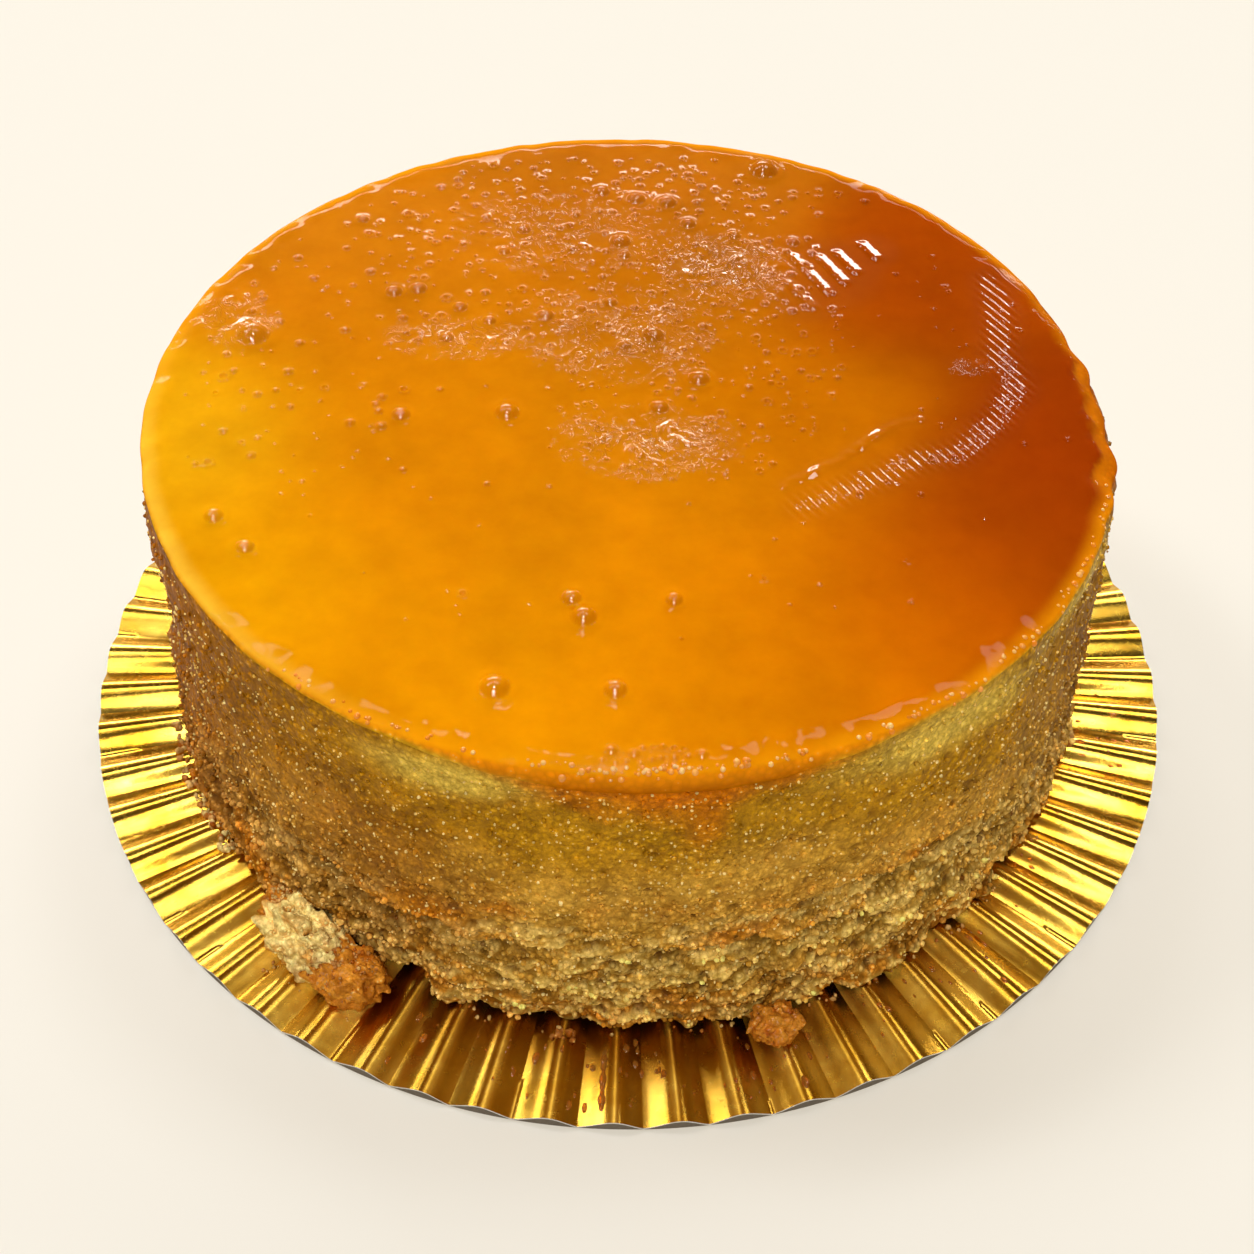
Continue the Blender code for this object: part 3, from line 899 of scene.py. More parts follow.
def zone_share(x, y):
    """How rough the caramel set at a place, 0 to 1."""
    total = np.zeros_like(x)
    for *oval, strength in ROUGH_ZONES:
        total = np.maximum(total, strength * hill(oval_distance(x, y, *oval) * 0.85))
    return total


# How far out bubbles lie: on the flat top, and in the field that crosses the front edge
FLAT_LIMIT = 78.2 * MM
EDGE_LIMIT = 82.0 * MM
EDGE_FIELD_Y = -80
# Bubbles: how many, the oval they are drawn in, their radii, and the share that has burst; in mm
BUBBLE_FIELDS = [
    (330, (-6, 44, 42, 32), (0.30, 0.85), 0.45),
    (260, (10, 18, 28, 38), (0.26, 0.75), 0.45),
    (110, (-60, 20, 24, 44), (0.30, 0.95), 0.15),
    (60, (-10, 66, 60, 14), (0.35, 1.00), 0.30),
    (50, (0, -25, 60, 34), (0.28, 0.70), 0.20),
    (46, (4, EDGE_FIELD_Y, 9, 3.2), (0.45, 1.15), 0.10),
    (40, (50, 20, 30, 50), (0.25, 0.60), 0.30),
]


# Mesh rings round a bubble: above which radius, the rings as shares of it, and points in each
BUBBLE_RINGS = [
    (1.0 * MM, (0.3, 0.55, 0.75, 0.9, 1.0, 1.12, 1.3, 1.6), 20),
    (0.5 * MM, (0.4, 0.7, 0.9, 1.02, 1.25, 1.6), 11),
    (0, (0.5, 0.85, 1.05, 1.45), 8),
]


def bubble_list():
    """All bubbles: x, y, radius, and 1 for a whole one or 0 for a burst one."""
    draw = random.Random(SEED + 1)
    bubbles = [(x, y, radius, 1) for x, y, radius in blister_list()]
    grid = {}
    step = 6 * MM

    def near(x, y):
        column, row = int(x // step), int(y // step)
        for dx in (-1, 0, 1):
            for dy in (-1, 0, 1):
                yield from grid.get((column + dx, row + dy), ())

    def keep(bubble):
        grid.setdefault((int(bubble[0] // step), int(bubble[1] // step)), []).append(bubble)

    for bubble in bubbles:
        keep(bubble)
    for count, oval, (small, large), burst in BUBBLE_FIELDS:
        made = 0
        for _ in range(count * 12):
            if made == count:
                break
            x, y = (place * MM for place in drawn_in(draw, *oval))
            radius = (small + (large - small) * draw.random() ** 2.2) * MM
            whole = int(draw.random() >= burst)
            limit = EDGE_LIMIT if oval[1] == EDGE_FIELD_Y else FLAT_LIMIT
            inside = math.hypot(x - CAKE_CENTRE.x, y - CAKE_CENTRE.y) < limit - radius * 2
            clear = all(math.hypot(x - bx, y - by) > 1.25 * (radius + br)
                        for bx, by, br, _ in near(x, y))
            if inside and clear:
                keep((x, y, radius, whole))
                bubbles.append((x, y, radius, whole))
                made += 1
    return bubbles


def route_distance(x, y, route):
    """Distance from each point to a line through several places, in metres."""
    best = np.full_like(x, 1.0)
    for (ax, ay), (bx, by) in zip(route, route[1:]):
        ax, ay, bx, by = ax * MM, ay * MM, bx * MM, by * MM
        length = (bx - ax) ** 2 + (by - ay) ** 2
        share = np.clip(((x - ax) * (bx - ax) + (y - ay) * (by - ay)) / length, 0, 1)
        best = np.minimum(best, np.hypot(x - ax - share * (bx - ax), y - ay - share * (by - ay)))
    return best


def top_relief(x, y):
    """Height of the caramel's waves, wrinkles and ripples over the plane, without bubbles."""
    spot = level(x, y)
    reach = around(x, y)[1]
    edge = 1 - ease((reach - 75 * MM) / (5 * MM))
    waves = soft_noise(spot / (26 * MM), 3) * 0.12 * MM
    waves += soft_noise(spot / (11 * MM), 4) * 0.04 * MM
    for *oval, height in SWELLS:
        waves += height * MM * hill(oval_distance(x, y, *oval))
    patchy = np.clip(0.75 + 0.9 * soft_noise(spot / (6 * MM), 2), 0, 1.4)
    rough = zone_share(x, y) * patchy
    warp = level(soft_noise(spot / (4 * MM), 5), soft_noise(spot / (4 * MM), 6))
    wrinkles = 0
    for size, bend, seed, sharpness, height in WRINKLES:
        folds = soft_noise(spot / (size * MM) + warp * bend, seed)
        wrinkles = wrinkles + (1 - np.abs(folds)) ** sharpness * height * MM
    across = x * RIPPLE_ACROSS.x + y * RIPPLE_ACROSS.y
    drift = soft_noise(spot / (7 * MM), 9) * 0.5
    ribbon = hill(route_distance(x, y, RIBBON) / RIBBON_HALF_WIDTH) ** 0.7
    ripples = ribbon * np.sin(math.tau * across / RIPPLE_LENGTH + drift) * 0.13 * MM
    bars = np.zeros_like(x)
    bar_across = x * BAR_ACROSS.x + y * BAR_ACROSS.y
    bar_along = x * -BAR_ACROSS.y + y * BAR_ACROSS.x
    for bx, by, half in BARS:
        off = (bar_across - bx * MM * BAR_ACROSS.x - by * MM * BAR_ACROSS.y) / BAR_HALF_WIDTH
        run = (bar_along + bx * MM * BAR_ACROSS.y - by * MM * BAR_ACROSS.x) / (half * MM)
        lean = np.clip(1 - off, 0, 2) / 2 * ease((off + 1.35) / 0.5)
        bars = np.maximum(bars, lean * ease((1 - np.abs(run)) * 3))
    crease = hill(route_distance(x, y, CREASE) / CREASE_HALF_WIDTH) * CREASE_HEIGHT
    crease = crease * (1 + soft_noise(spot / (1.8 * MM), 14))
    rim = ease((reach - 77 * MM) / (2 * MM)) * soft_noise(spot / (3.2 * MM), 13) * 0.22 * MM
    return waves * edge + rough * wrinkles + (ripples + crease + bars * BAR_HEIGHT) * edge + rim


def detailed(x, y, margin=0.0):
    """Where the top needs the closest mesh points: wrinkles, ribbon, crease and bars."""
    found = zone_share(x, y) > FINEST_FROM
    for route, half in ROUTES:
        found |= route_distance(x, y, route) < half + margin
    for bx, by, half in BARS:
        found |= np.hypot(x - bx * MM, y - by * MM) < half * MM + margin
    return found


def bubble_relief(x, y, bubbles):
    """Height that the bubbles add: domes for whole ones, rims for burst ones."""
    height = np.zeros_like(x)
    domed = np.zeros_like(x)
    shine = np.zeros_like(x)
    order = np.argsort(x)
    sorted_x = x[order]
    for bx, by, radius, whole in bubbles:
        low, high = np.searchsorted(sorted_x, [bx - 2 * radius, bx + 2 * radius])
        near = order[low:high]
        share = np.hypot(x[near] - bx, y[near] - by) / radius
        near, share = near[share < 2], share[share < 2]
        ring = np.exp(-((share - 1.32) / 0.24) ** 2)
        dome = np.clip(1 - share ** 2, 0, 1) ** 0.62
        rim = np.exp(-((share - 0.95) / 0.22) ** 2)
        bowl = np.clip(1 - share ** 2, 0, 1)
        if whole:
            height[near] += radius * (0.66 * dome + 0.11 * ring)
            across, along = (x[near] - bx) / radius, (y[near] - by) / radius
            crown = hill(np.hypot(across + 0.08, along - 0.2) / 0.46)
            front = hill(np.hypot(across, along + 0.58) / 0.65)
            domed[near] = np.maximum(domed[near], ease(1.3 - share))
            shine[near] = np.maximum(shine[near], np.maximum(crown, front))
        else:
            height[near] += radius * (0.38 * rim - 0.22 * bowl)
    return height, domed, shine


def grid_points(pitch, phase):
    """Jittered places on a square grid over the top."""
    draw = np.random.default_rng(SEED + phase)
    line = np.arange(-GRID_HALF, GRID_HALF, pitch)
    x, y = np.meshgrid(line, line)
    x = x.ravel() + draw.uniform(-0.2, 0.2, x.size) * pitch
    y = y.ravel() + draw.uniform(-0.2, 0.2, y.size) * pitch
    return x, y


def at_rim(x, y):
    """Whether places lie where the top starts to fall to its edge."""
    turn, reach = around(x, y)
    return reach >= np.minimum(crown_edge(turn) - 0.6 * MM, RIM_FROM)


def within(x, y, shoulder, margin):
    """Whether places lie inside the shoulder's ring by a margin."""
    turn, reach = around(x, y)
    limit = np.interp(turn % math.tau, math.tau * np.arange(RIM_COLUMNS) / RIM_COLUMNS, shoulder)
    return reach < limit - margin


def top_points(bubbles, shoulder):
    """Places of the mesh points: close where there is detail, wide apart elsewhere."""
    fine_x, fine_y = grid_points(FINE_PITCH, 1)
    fine = zone_share(fine_x, fine_y) > FINE_FROM
    coarse_x, coarse_y = grid_points(COARSE_PITCH, 2)
    coarse = zone_share(coarse_x, coarse_y) <= FINE_FROM
    ripple_x, ripple_y = grid_points(RIPPLE_PITCH, 3)
    ripple = detailed(ripple_x, ripple_y)
    x = np.concatenate([fine_x[fine], coarse_x[coarse]])
    y = np.concatenate([fine_y[fine], coarse_y[coarse]])
    inner = ~at_rim(x, y)
    rim_x, rim_y = grid_points(RIM_PITCH, 4)
    rim = at_rim(rim_x, rim_y)
    x = np.concatenate([x[inner], rim_x[rim]])
    y = np.concatenate([y[inner], rim_y[rim]])
    outside = ~detailed(x, y, 0.3 * MM)
    x = np.concatenate([x[outside], ripple_x[ripple]])
    y = np.concatenate([y[outside], ripple_y[ripple]])
    inside = within(x, y, shoulder, 0.8 * MM)
    x, y = x[inside], y[inside]
    clear = np.ones(len(x), bool)
    order = np.argsort(x)
    sorted_x = x[order]
    own_x, own_y = [], []
    for bx, by, radius, whole in bubbles:
        low, high = np.searchsorted(sorted_x, [bx - 1.9 * radius, bx + 1.9 * radius])
        near = order[low:high]
        clear[near[np.hypot(x[near] - bx, y[near] - by) < 1.75 * radius]] = False
        shares, spokes = next(rings for least, *rings in BUBBLE_RINGS if radius > least)
        own_x.append(bx)
        own_y.append(by)
        for row, share in enumerate(shares):
            count = spokes if share > 0.45 else spokes // 2
            turns = (np.arange(count) + 0.5 * (row % 2)) * math.tau / count
            own_x.extend(bx + radius * share * np.cos(turns))
            own_y.extend(by + radius * share * np.sin(turns))
    x = np.concatenate([x[clear], own_x])
    y = np.concatenate([y[clear], own_y])
    inside = within(x, y, shoulder, 0.3 * MM)
    return x[inside], y[inside]


def rim_reach(angle):
    """Radius of the caramel's outermost edge."""
    reach = TOP_RADIUS + LIP - BENCH_INSET * turn_hill(angle, *BENCH)
    for centre, half, lobe in LOBES:
        reach = reach + lobe * MM * turn_hill(angle, centre, half)
    return reach + 0.14 * MM * np.sin(37 * angle) * np.sin(11 * angle + 2)


def scalloped(angle):
    """How far the edge is scalloped, 0 to 1, with soft ends."""
    return np.clip(turn_hill(angle, *SCALLOPS) * 2.5, 0, 1)


def crown_edge(angle):
    """Radius at which the flat top starts to fall, bitten into scallops on the right."""
    bitten = SCALLOP_RADIUS + 0 * angle
    for centre, half, depth in BITES:
        bitten = bitten - depth * MM * turn_hill(angle, centre, half) ** 0.6
    wander = 0.5 * MM * np.sin(5 * angle + 1) * np.sin(23 * angle) + 0.3 * MM * np.sin(61 * angle)
    return between(rim_reach(angle) - ROLL_WIDTH - RIM_FALL + wander, bitten, scalloped(angle))


def rim_drop(angle, radius):
    """How far the top lies below its plane near the edge."""
    crown = crown_edge(angle)
    outer = rim_reach(angle) - ROLL_WIDTH
    run = np.clip((radius - crown) / (outer - crown), 0, 1)
    rounded = EDGE_DROP * run ** 1.7
    step = SHELF_DEPTH * ease((radius - crown) / SHELF_STEP) + (BENCH_DROP - 0.4 * MM) * run ** 3
    return between(rounded, step, scalloped(angle))


def roll_rings(angle):
    """Rings over the rolled edge, from the top down and under, as a smooth curve."""
    thick = caramel_edge_thickness(angle)
    reach = rim_reach(angle)
    start = reach - ROLL_WIDTH
    drop = rim_drop(angle, start)
    under = thick - 0.3 * MM
    fall = under - drop
    outline = [
        (start, drop),
        (start + 0.6 * ROLL_WIDTH, drop + 0.10 * fall),
        (reach, drop + 0.38 * fall),
        (reach, under - 0.25 * fall),
        (np.maximum(TOP_RADIUS - 0.5 * MM, reach - 1.0 * MM) + 0 * drop, under),
        (TOP_RADIUS - 4 * MM + 0 * drop, under),
    ]
    radii = np.array([radius for radius, below in outline])
    depths = np.array([below for radius, below in outline])
    rows = []
    for i in range(len(outline) - 1):
        for step in range(ROLL_STEPS):
            t = step / ROLL_STEPS
            ends = [max(i - 1, 0), i, i + 1, min(i + 2, len(outline) - 1)]
            weights = np.array([
                -0.5 * t + t * t - 0.5 * t ** 3,
                1 - 2.5 * t * t + 1.5 * t ** 3,
                0.5 * t + 2 * t * t - 1.5 * t ** 3,
                -0.5 * t * t + 0.5 * t ** 3,
            ])
            rows.append((weights @ radii[ends], weights @ depths[ends]))
    rows.append((radii[-1], depths[-1]))
    return rows


def caramel_colours(x, y, from_edge, domed):
    """The fields of colour, blended by distance, with the thin edge lighter."""
    total = np.zeros((len(x), 3))
    weight = np.zeros(len(x))
    for cx, cy, reach, colour in CARAMEL_FIELDS:
        share = np.exp(-(((x / MM - cx) ** 2 + (y / MM - cy) ** 2) / reach ** 2)) + 1e-9
        total += share[:, None] * rgb(*colour)
        weight += share
    colour = total / weight[:, None] * TOP_TONE
    spot = level(x, y)
    veins = rough_noise(spot / (14 * MM), 51)
    colour = colour * (1 + 0.10 * veins)[:, None]
    turn = np.arctan2(y, x)
    edge = 1 - ease((from_edge - 0.5 * MM) / (3.0 * MM))
    left = turn_hill(turn, -155, 48)
    colour = mix(colour, THIN_EDGE, edge * (1 - left) * 0.45)
    colour = mix(colour, YELLOW_BAND, edge * left * 0.7)
    return mix(colour, colour * np.array([0.9, 0.84, 0.6]), domed * 0.5)


def make_caramel():
    """The caramel: a triangulated top, then rings over its rolled edge and under it."""
    bubbles = bubble_list()
    angle = math.tau * np.arange(RIM_COLUMNS) / RIM_COLUMNS
    rolled = roll_rings(angle)
    shoulder = rolled[0][0]
    x, y = top_points(bubbles, shoulder)
    flat = np.concatenate([np.stack(on_cake(angle, shoulder), -1), np.stack([x, y], -1)]) / MM
    places = [Vector(place) for place in flat.tolist()]
    loop = [(i, (i + 1) % RIM_COLUMNS) for i in range(RIM_COLUMNS)]
    made, _, triangles, origins, *_ = delaunay_2d_cdt(places, loop, [], 1, 1e-5)
    made = np.array([vert[:] for vert in made]) * MM
    x, y = made[:, 0], made[:, 1]
    added, domed, shine = bubble_relief(x, y, bubbles)
    height = top_height(x, y) + top_relief(x, y) + added - rim_drop(*around(x, y))
    top = np.stack([x, y, height], -1)
    ring = np.zeros(RIM_COLUMNS, int)
    for index, sources in enumerate(origins):
        for source in sources:
            if source < RIM_COLUMNS:
                ring[source] = index
    start = top[ring]
    first_drop = rolled[0][1]
    lift = start[:, 2] - top_height(start[:, 0], start[:, 1]) + first_drop
    rings = []
    for radius, below in rolled[1:]:
        x, y = on_cake(angle, radius)
        fade = 1 - ease((below - first_drop) / (1.2 * MM))
        rings.append(np.stack([x, y, top_height(x, y) - below + lift * fade], -1))
    points = np.concatenate([top] + rings)
    faces = [list(triangle) for triangle in triangles]
    index = np.concatenate([[ring], len(top) + np.arange(len(rings) * RIM_COLUMNS).reshape(
        len(rings), RIM_COLUMNS)])
    right = np.roll(index, -1, axis=1)
    band = np.stack([index[1:], right[1:], right[:-1], index[:-1]], -1).reshape(-1, 4)
    faces += band.tolist()
    faces.append(index[-1][::-1].tolist())
    caramel = new_object("caramel_top", points, faces)
    smooth(caramel)
    x, y, z = points.T
    turn, reach = around(x, y)
    edge = np.maximum(rim_reach(turn) - reach, 0)
    domed = np.concatenate([domed, np.zeros(len(rings) * RIM_COLUMNS)])
    shine = np.concatenate([shine, np.zeros(len(rings) * RIM_COLUMNS)])
    colours = caramel_colours(x, y, edge, domed)
    # The scallops' step in dark brown, partly the caramel's own colour and partly painted shade in the
    # step; more yellow toward the outer edge
    shelf = ease((reach - crown_edge(turn)) / (0.5 * MM)) * scalloped(turn)
    deep = mix(SHELF_BROWN, SHELF_YELLOW, 1 - ease(edge / (1.5 * MM)))
    colours = mix(colours, deep, shelf * 0.9)
    below = top_height(x, y) - z
    face = ease((below - 0.5 * MM) / (0.9 * MM))
    colours = mix(colours, mix(RIM_ORANGE, GLAZE * 0.72, ease(below / (5 * MM))), face)
    colours = mix(colours, SHELF_BROWN, face * scalloped(turn) * 0.8)
    custard = face * (1 - soaked(turn, below))
    pale = spots(turn, z, PALE_BANDS)
    colours = mix(colours, mix(EDGE_CUSTARD, CUSTARD_PALE, np.clip(pale * 1.3, 0, 1)), custard)
    paint(caramel, "tint", colours)
    measure(caramel, "crumbly", face * (0.35 + 0.65 * custard))
    measure(caramel, "veil", caramel_gloss(points, turn, edge, domed, shine, face))
    measure(caramel, "rough", zone_share(x, y))
    return caramel


def caramel_gloss(points, turn, edge, domed, shine, face):
    """Share of clear gloss: full on bubbles and ripples, less on flat caramel, least on the rim's face."""
    x, y = points[:, 0], points[:, 1]
    back = ease((y - 5 * MM) / (60 * MM)) * (1 - ease((x - 20 * MM) / (22 * MM)))
    gloss = (FLAT_GLOSS + BACK_GLOSS * back) * (1 - 0.8 * hill(edge / (9 * MM)) * turn_hill(turn, 118, 50))
    patchy = 0.55 + 0.6 * rough_noise(points / (4 * MM), 58)
    gloss = np.maximum(gloss, ROUGH_GLOSS * zone_share(x, y) * np.clip(patchy, 0.1, 1) * 1.3)
    for route, half in ROUTES:
        line = ease(1.6 - route_distance(x, y, route) / half)
        gloss = np.maximum(gloss, RIPPLE_GLOSS * line)
    for bx, by, half in BARS:
        bar = ease(2 - np.hypot(x - bx * MM, y - by * MM) / (half * MM))
        gloss = np.maximum(gloss, RIPPLE_GLOSS * bar)
    gloss = between(gloss, BUBBLE_GLOSS * shine, domed)
    patchy = np.clip(0.04 + 0.12 * rough_noise(points / (3.5 * MM), 57), 0.01, 0.12)
    patchy = patchy * (1 - 0.9 * turn_hill(turn, -85, 150))
    rim = 1 - ease((edge - 0.8 * MM) / (1.6 * MM + 5 * MM * turn_hill(turn, 90, 120)))
    gloss = between(gloss, patchy, rim * (1 - domed))
    front = turn_hill(turn, -88, 75)
    return np.clip(between(gloss, 0.02, face * (0.35 + 0.65 * front)), 0, 1)


def caramel_material():
    """Set caramel under a clear gloss, finely wrinkled where it is rough, and crumbly at its edge."""
    caramel = Shader("caramel", Roughness=0.3, Coat_Roughness=0.03, Coat_IOR=1.9,
                     Specular_IOR_Level=0.0, Subsurface_Weight=0.3, Subsurface_Scale=1.0,
                     Subsurface_Radius=(2.2 * MM, 1.2 * MM, 0.3 * MM))
    tint = caramel.attribute("tint", "Color")
    rough = caramel.attribute("rough")
    caramel.link(caramel.attribute("veil"), "Coat Weight")
    clouds = caramel.noise(6 * MM, 5, 0.6)
    tone = caramel.blend(caramel.spread(clouds, 0.3, 0.7), CLOUD_DARK, CLOUD_BRIGHT)
    tone = caramel.tinted(tint, tone)
    crumbly = caramel.attribute("crumbly")
    # The crumbly face takes the beads' painted gap shade and painted glints
    beaded, domes = caramel.beads(tone, BEAD_SIZE)
    caramel.link(caramel.blend(crumbly, tone, beaded), "Base Color")
    twist = caramel.noise(2.3 * MM, 1, 0.5, distortion=1.6)
    away = caramel.math("ABSOLUTE", caramel.math("SUBTRACT", twist, 0.5))
    lines = caramel.spread(away, 0.0, 0.055, 1.0, 0.0)
    islands = caramel.spread(caramel.noise(5 * MM, 2), 0.38, 0.55)
    marks = caramel.times(lines, caramel.times(islands, caramel.spread(rough, 0.2, 0.8)))
    domes = caramel.times(domes, crumbly)
    bump = caramel.bump(marks, 0.18 * MM, 1.0, caramel.bump(domes, BEAD_HEIGHT * 0.7, 1.0))
    caramel.link(bump, "Normal")
    caramel.link(bump, "Coat Normal")
    return caramel.material


RIM_BEADS = 190
BEAD_TURNS = (-132, -12)
BEAD_RADII = (0.26 * MM, 0.62 * MM)
# More beads crowd round this place on the front edge
BEAD_CROWD = (-88, 6)
BEAD_ORANGE = rgb(236, 132, 22)
# Painted highlight: pale colour for some of the rim beads
BEAD_HIGHLIGHT_PALE = rgb(252, 190, 110)
BEAD_GLOSS = 0.4


def make_rim_beads():
    """Small domed bubbles caught along the rolled front edge, some painted pale as highlights."""
    draw = np.random.default_rng(SEED + 20)
    crowd = draw.random(RIM_BEADS) < 0.35
    spread = draw.uniform(*BEAD_TURNS, RIM_BEADS)
    turn = np.radians(np.where(crowd, draw.normal(*BEAD_CROWD, RIM_BEADS), spread))
    radius = BEAD_RADII[0] + (BEAD_RADII[1] - BEAD_RADII[0]) * draw.random(RIM_BEADS) ** 2
    rolled = roll_rings(turn)
    row = draw.integers(0, int(ROLL_STEPS * 2.6), RIM_BEADS)
    reach = np.array([rolled[r][0][i] for i, r in enumerate(row)])
    below = np.array([rolled[r][1][i] for i, r in enumerate(row)])
    inward = draw.random(RIM_BEADS) < 0.72
    shift = np.where(inward, draw.normal(0.2, 0.35, RIM_BEADS) * MM, 0)
    reach = np.where(inward, rolled[0][0] - shift, reach)
    below = np.where(inward, rim_drop(turn, np.minimum(reach, rolled[0][0])), below)
    x, y = on_cake(turn, reach)
    centres = np.stack([x, y, top_height(x, y) - below - 0.4 * radius], -1)
    unit, triangles = ball(2)
    beads = copies("rim_beads", centres[:, None] + unit[None] * radius[:, None, None], triangles)
    # Partly painted highlight: beads range from caramel orange to a pale highlight colour
    colours = mix(BEAD_ORANGE, BEAD_HIGHLIGHT_PALE, draw.random(RIM_BEADS) ** 1.5)
    paint(beads, "tint", np.repeat(colours, len(unit), axis=0))
    for name, value in (("rough", 0), ("crumbly", 0), ("veil", BEAD_GLOSS)):
        measure(beads, name, np.full(RIM_BEADS * len(unit), value))
    return beads


# Chunks on the board

def lean_on_cake(points):
    """Keep points above the board's crests and clear of the cake's side."""
    points[:, 2] = np.maximum(points[:, 2], BASE_Z)
    turn, reach = around(points[:, 0], points[:, 1])
    nearest = np.array([side_radius(a, z) for a, z in zip(turn, points[:, 2])])
    reach = np.maximum(reach, nearest + 0.2 * MM)
    points[:, 0], points[:, 1] = on_cake(turn, reach)


def lump_points(lump, unit):
    """The solid's own lump, on a finer ball, and the way out of it at each point."""
    turn_degrees, distance, half_sizes, roughness = lump
    turn = math.radians(turn_degrees)
    along = np.array([-math.sin(turn), math.cos(turn), 0])
    out = np.array([math.cos(turn), math.sin(turn), 0])
    middle = place(turn, distance, BASE_Z + half_sizes.z * 0.75)
    shape = []
    for point in unit:
        point = Vector(point)
        wobble = noise.noise(point * CHUNK_WOBBLE + middle / CRAG_SIZE)
        wobble += 0.5 * noise.noise(point * CHUNK_GRAIN - middle / CRAG_SIZE)
        shape.append(np.array(point) * (1 + roughness * wobble))
    shape = np.array(shape)
    points = np.array(middle) + (out * shape[:, :1] * half_sizes.y + along * shape[:, 1:2] * half_sizes.x)
    points[:, 2] += shape[:, 2] * half_sizes.z
    return points, unit * np.array([half_sizes.y, half_sizes.x, half_sizes.z])


CRUMB_PALE = rgb(255, 240, 166)
CRUMB_GOLD = rgb(208, 140, 46)
CRUMB_BROWN = rgb(162, 88, 16)
SOAKED = rgb(158, 74, 8)


def make_chunk(name, lumps, palette, seed):
    """Lumps of broken crumb: clumps of grains with deep gaps between them."""
    unit, triangles = ball(5)
    shapes, colours = [], []
    for lump, (pale, dark) in zip(lumps, palette):
        points, outward = lump_points(lump, unit)
        outward = outward / np.linalg.norm(outward, axis=1)[:, None]
        clump = (0.42 - cells(points / (2.1 * MM), seed)[0]) * 1.5 * MM
        grain = (0.45 - cells(points / (0.95 * MM), seed + 9)[0]) * 0.55 * MM
        points = points + outward * (clump + grain)[:, None]
        lean_on_cake(points)
        # Painted light and shade: raised crumb toward the lump's pale colour, the gaps toward its dark one
        lit = np.clip(0.9 + (clump + grain) / MM, 0, 1)
        fine = rough_noise(points / (2.4 * MM), seed + 5)
        share = np.clip(lit * 0.9 + fine * 0.35, 0, 1)
        shapes.append(points)
        colours.append(mix(dark, pale, share))
    chunk = copies(name, np.array(shapes), triangles)
    paint(chunk, "tint", np.concatenate(colours))
    return chunk


CHUNK_GRAINS = 2400


def make_chunk_grains():
    """Rough grains of broken crumb over the left chunk, pale on its outer left part."""
    draw = np.random.default_rng(SEED + 30)
    unit, _ = ball(5)
    clouds, tones = [], []
    for lump, pale in zip(LEFT_CHUNK + LEFT_FILLING, (1.0, 0.12, 0.35, 0.6)):
        points, _ = lump_points(lump, unit)
        clouds.append(points)
        tones.append(np.full(len(points), pale))
    points, tones = np.concatenate(clouds), np.concatenate(tones)
    upper = np.flatnonzero(points[:, 2] > BASE_Z + 0.8 * MM)
    chosen = draw.choice(upper, CHUNK_GRAINS, replace=False)
    sizes = draw.uniform(0.16, 0.44, CHUNK_GRAINS) * MM
    centres = points[chosen] + (points.mean(axis=0) - points[chosen]) * 0.06
    lean_on_cake(centres)
    share = np.clip(tones[chosen] + draw.normal(0, 0.10, CHUNK_GRAINS), 0, 1)
    colours = mix(CRUMB_BROWN, CRUMB_PALE, share)
    return make_grains("chunk_grains", centres, sizes, colours, SEED + 31)


# Crumbs strewn on the board: angle, spread, distance, spread, how many, radii in mm, paleness
CRUMB_PATCHES = [
    (-163, 6, 85.6, 1.8, 130, (0.2, 0.6), 0.5),
    (-151, 5, 85.2, 1.4, 110, (0.2, 0.6), 0.9),
    (-125, 6, 94.0, 1.5, 12, (0.15, 0.35), 0.5),
    (-97, 1.2, 86.6, 0.9, 24, (0.25, 0.7), 0.1),
    (-70, 40, 85.2, 0.8, 40, (0.2, 0.5), 0.5),
    (40, 60, 85.6, 1.0, 60, (0.2, 0.7), 0.6),
    (140, 40, 85.6, 1.0, 50, (0.2, 0.7), 0.6),
]


def make_strewn_crumbs():
    """Loose crumbs lying on the foil round the cake."""
    draw = np.random.default_rng(SEED + 5)
    centres, sizes, colours = [], [], []
    for turn, turn_spread, reach, reach_spread, count, (small, large), pale in CRUMB_PATCHES:
        turns = np.radians(turn + turn_spread * draw.uniform(-1, 1, count))
        reaches = (reach + reach_spread * draw.uniform(-1, 1, count)) * MM
        size = (small + (large - small) * draw.random(count) ** 2) * MM
        x, y = on_cake(turns, reaches)
        ground = board_surface(np.arctan2(y, x), np.hypot(x, y))
        centres.append(np.stack([x, y, ground + size * 0.6], -1))
        sizes.append(size)
        colours.append(mix(CRUMB_BROWN, CRUMB_PALE, pale * draw.random(count)))
    return make_grains("strewn_crumbs", np.concatenate(centres), np.concatenate(sizes),
                       np.concatenate(colours), SEED + 6, subdivisions=2)


# Syrup drops on the foil: angle, spread, distance, spread, how many, radii in mm
DROP_PATCHES = [
    (-92, 22, 92.0, 6.5, 60, (0.2, 0.7)),
    (-60, 14, 90.0, 5.0, 20, (0.2, 0.6)),
    (-20, 30, 92.0, 7.0, 36, (0.2, 0.6)),
]
# The long drip at the front: angle, distances in mm, widest half width in mm
DRIP = (-92.3, 88.5, 98.5, 0.75)


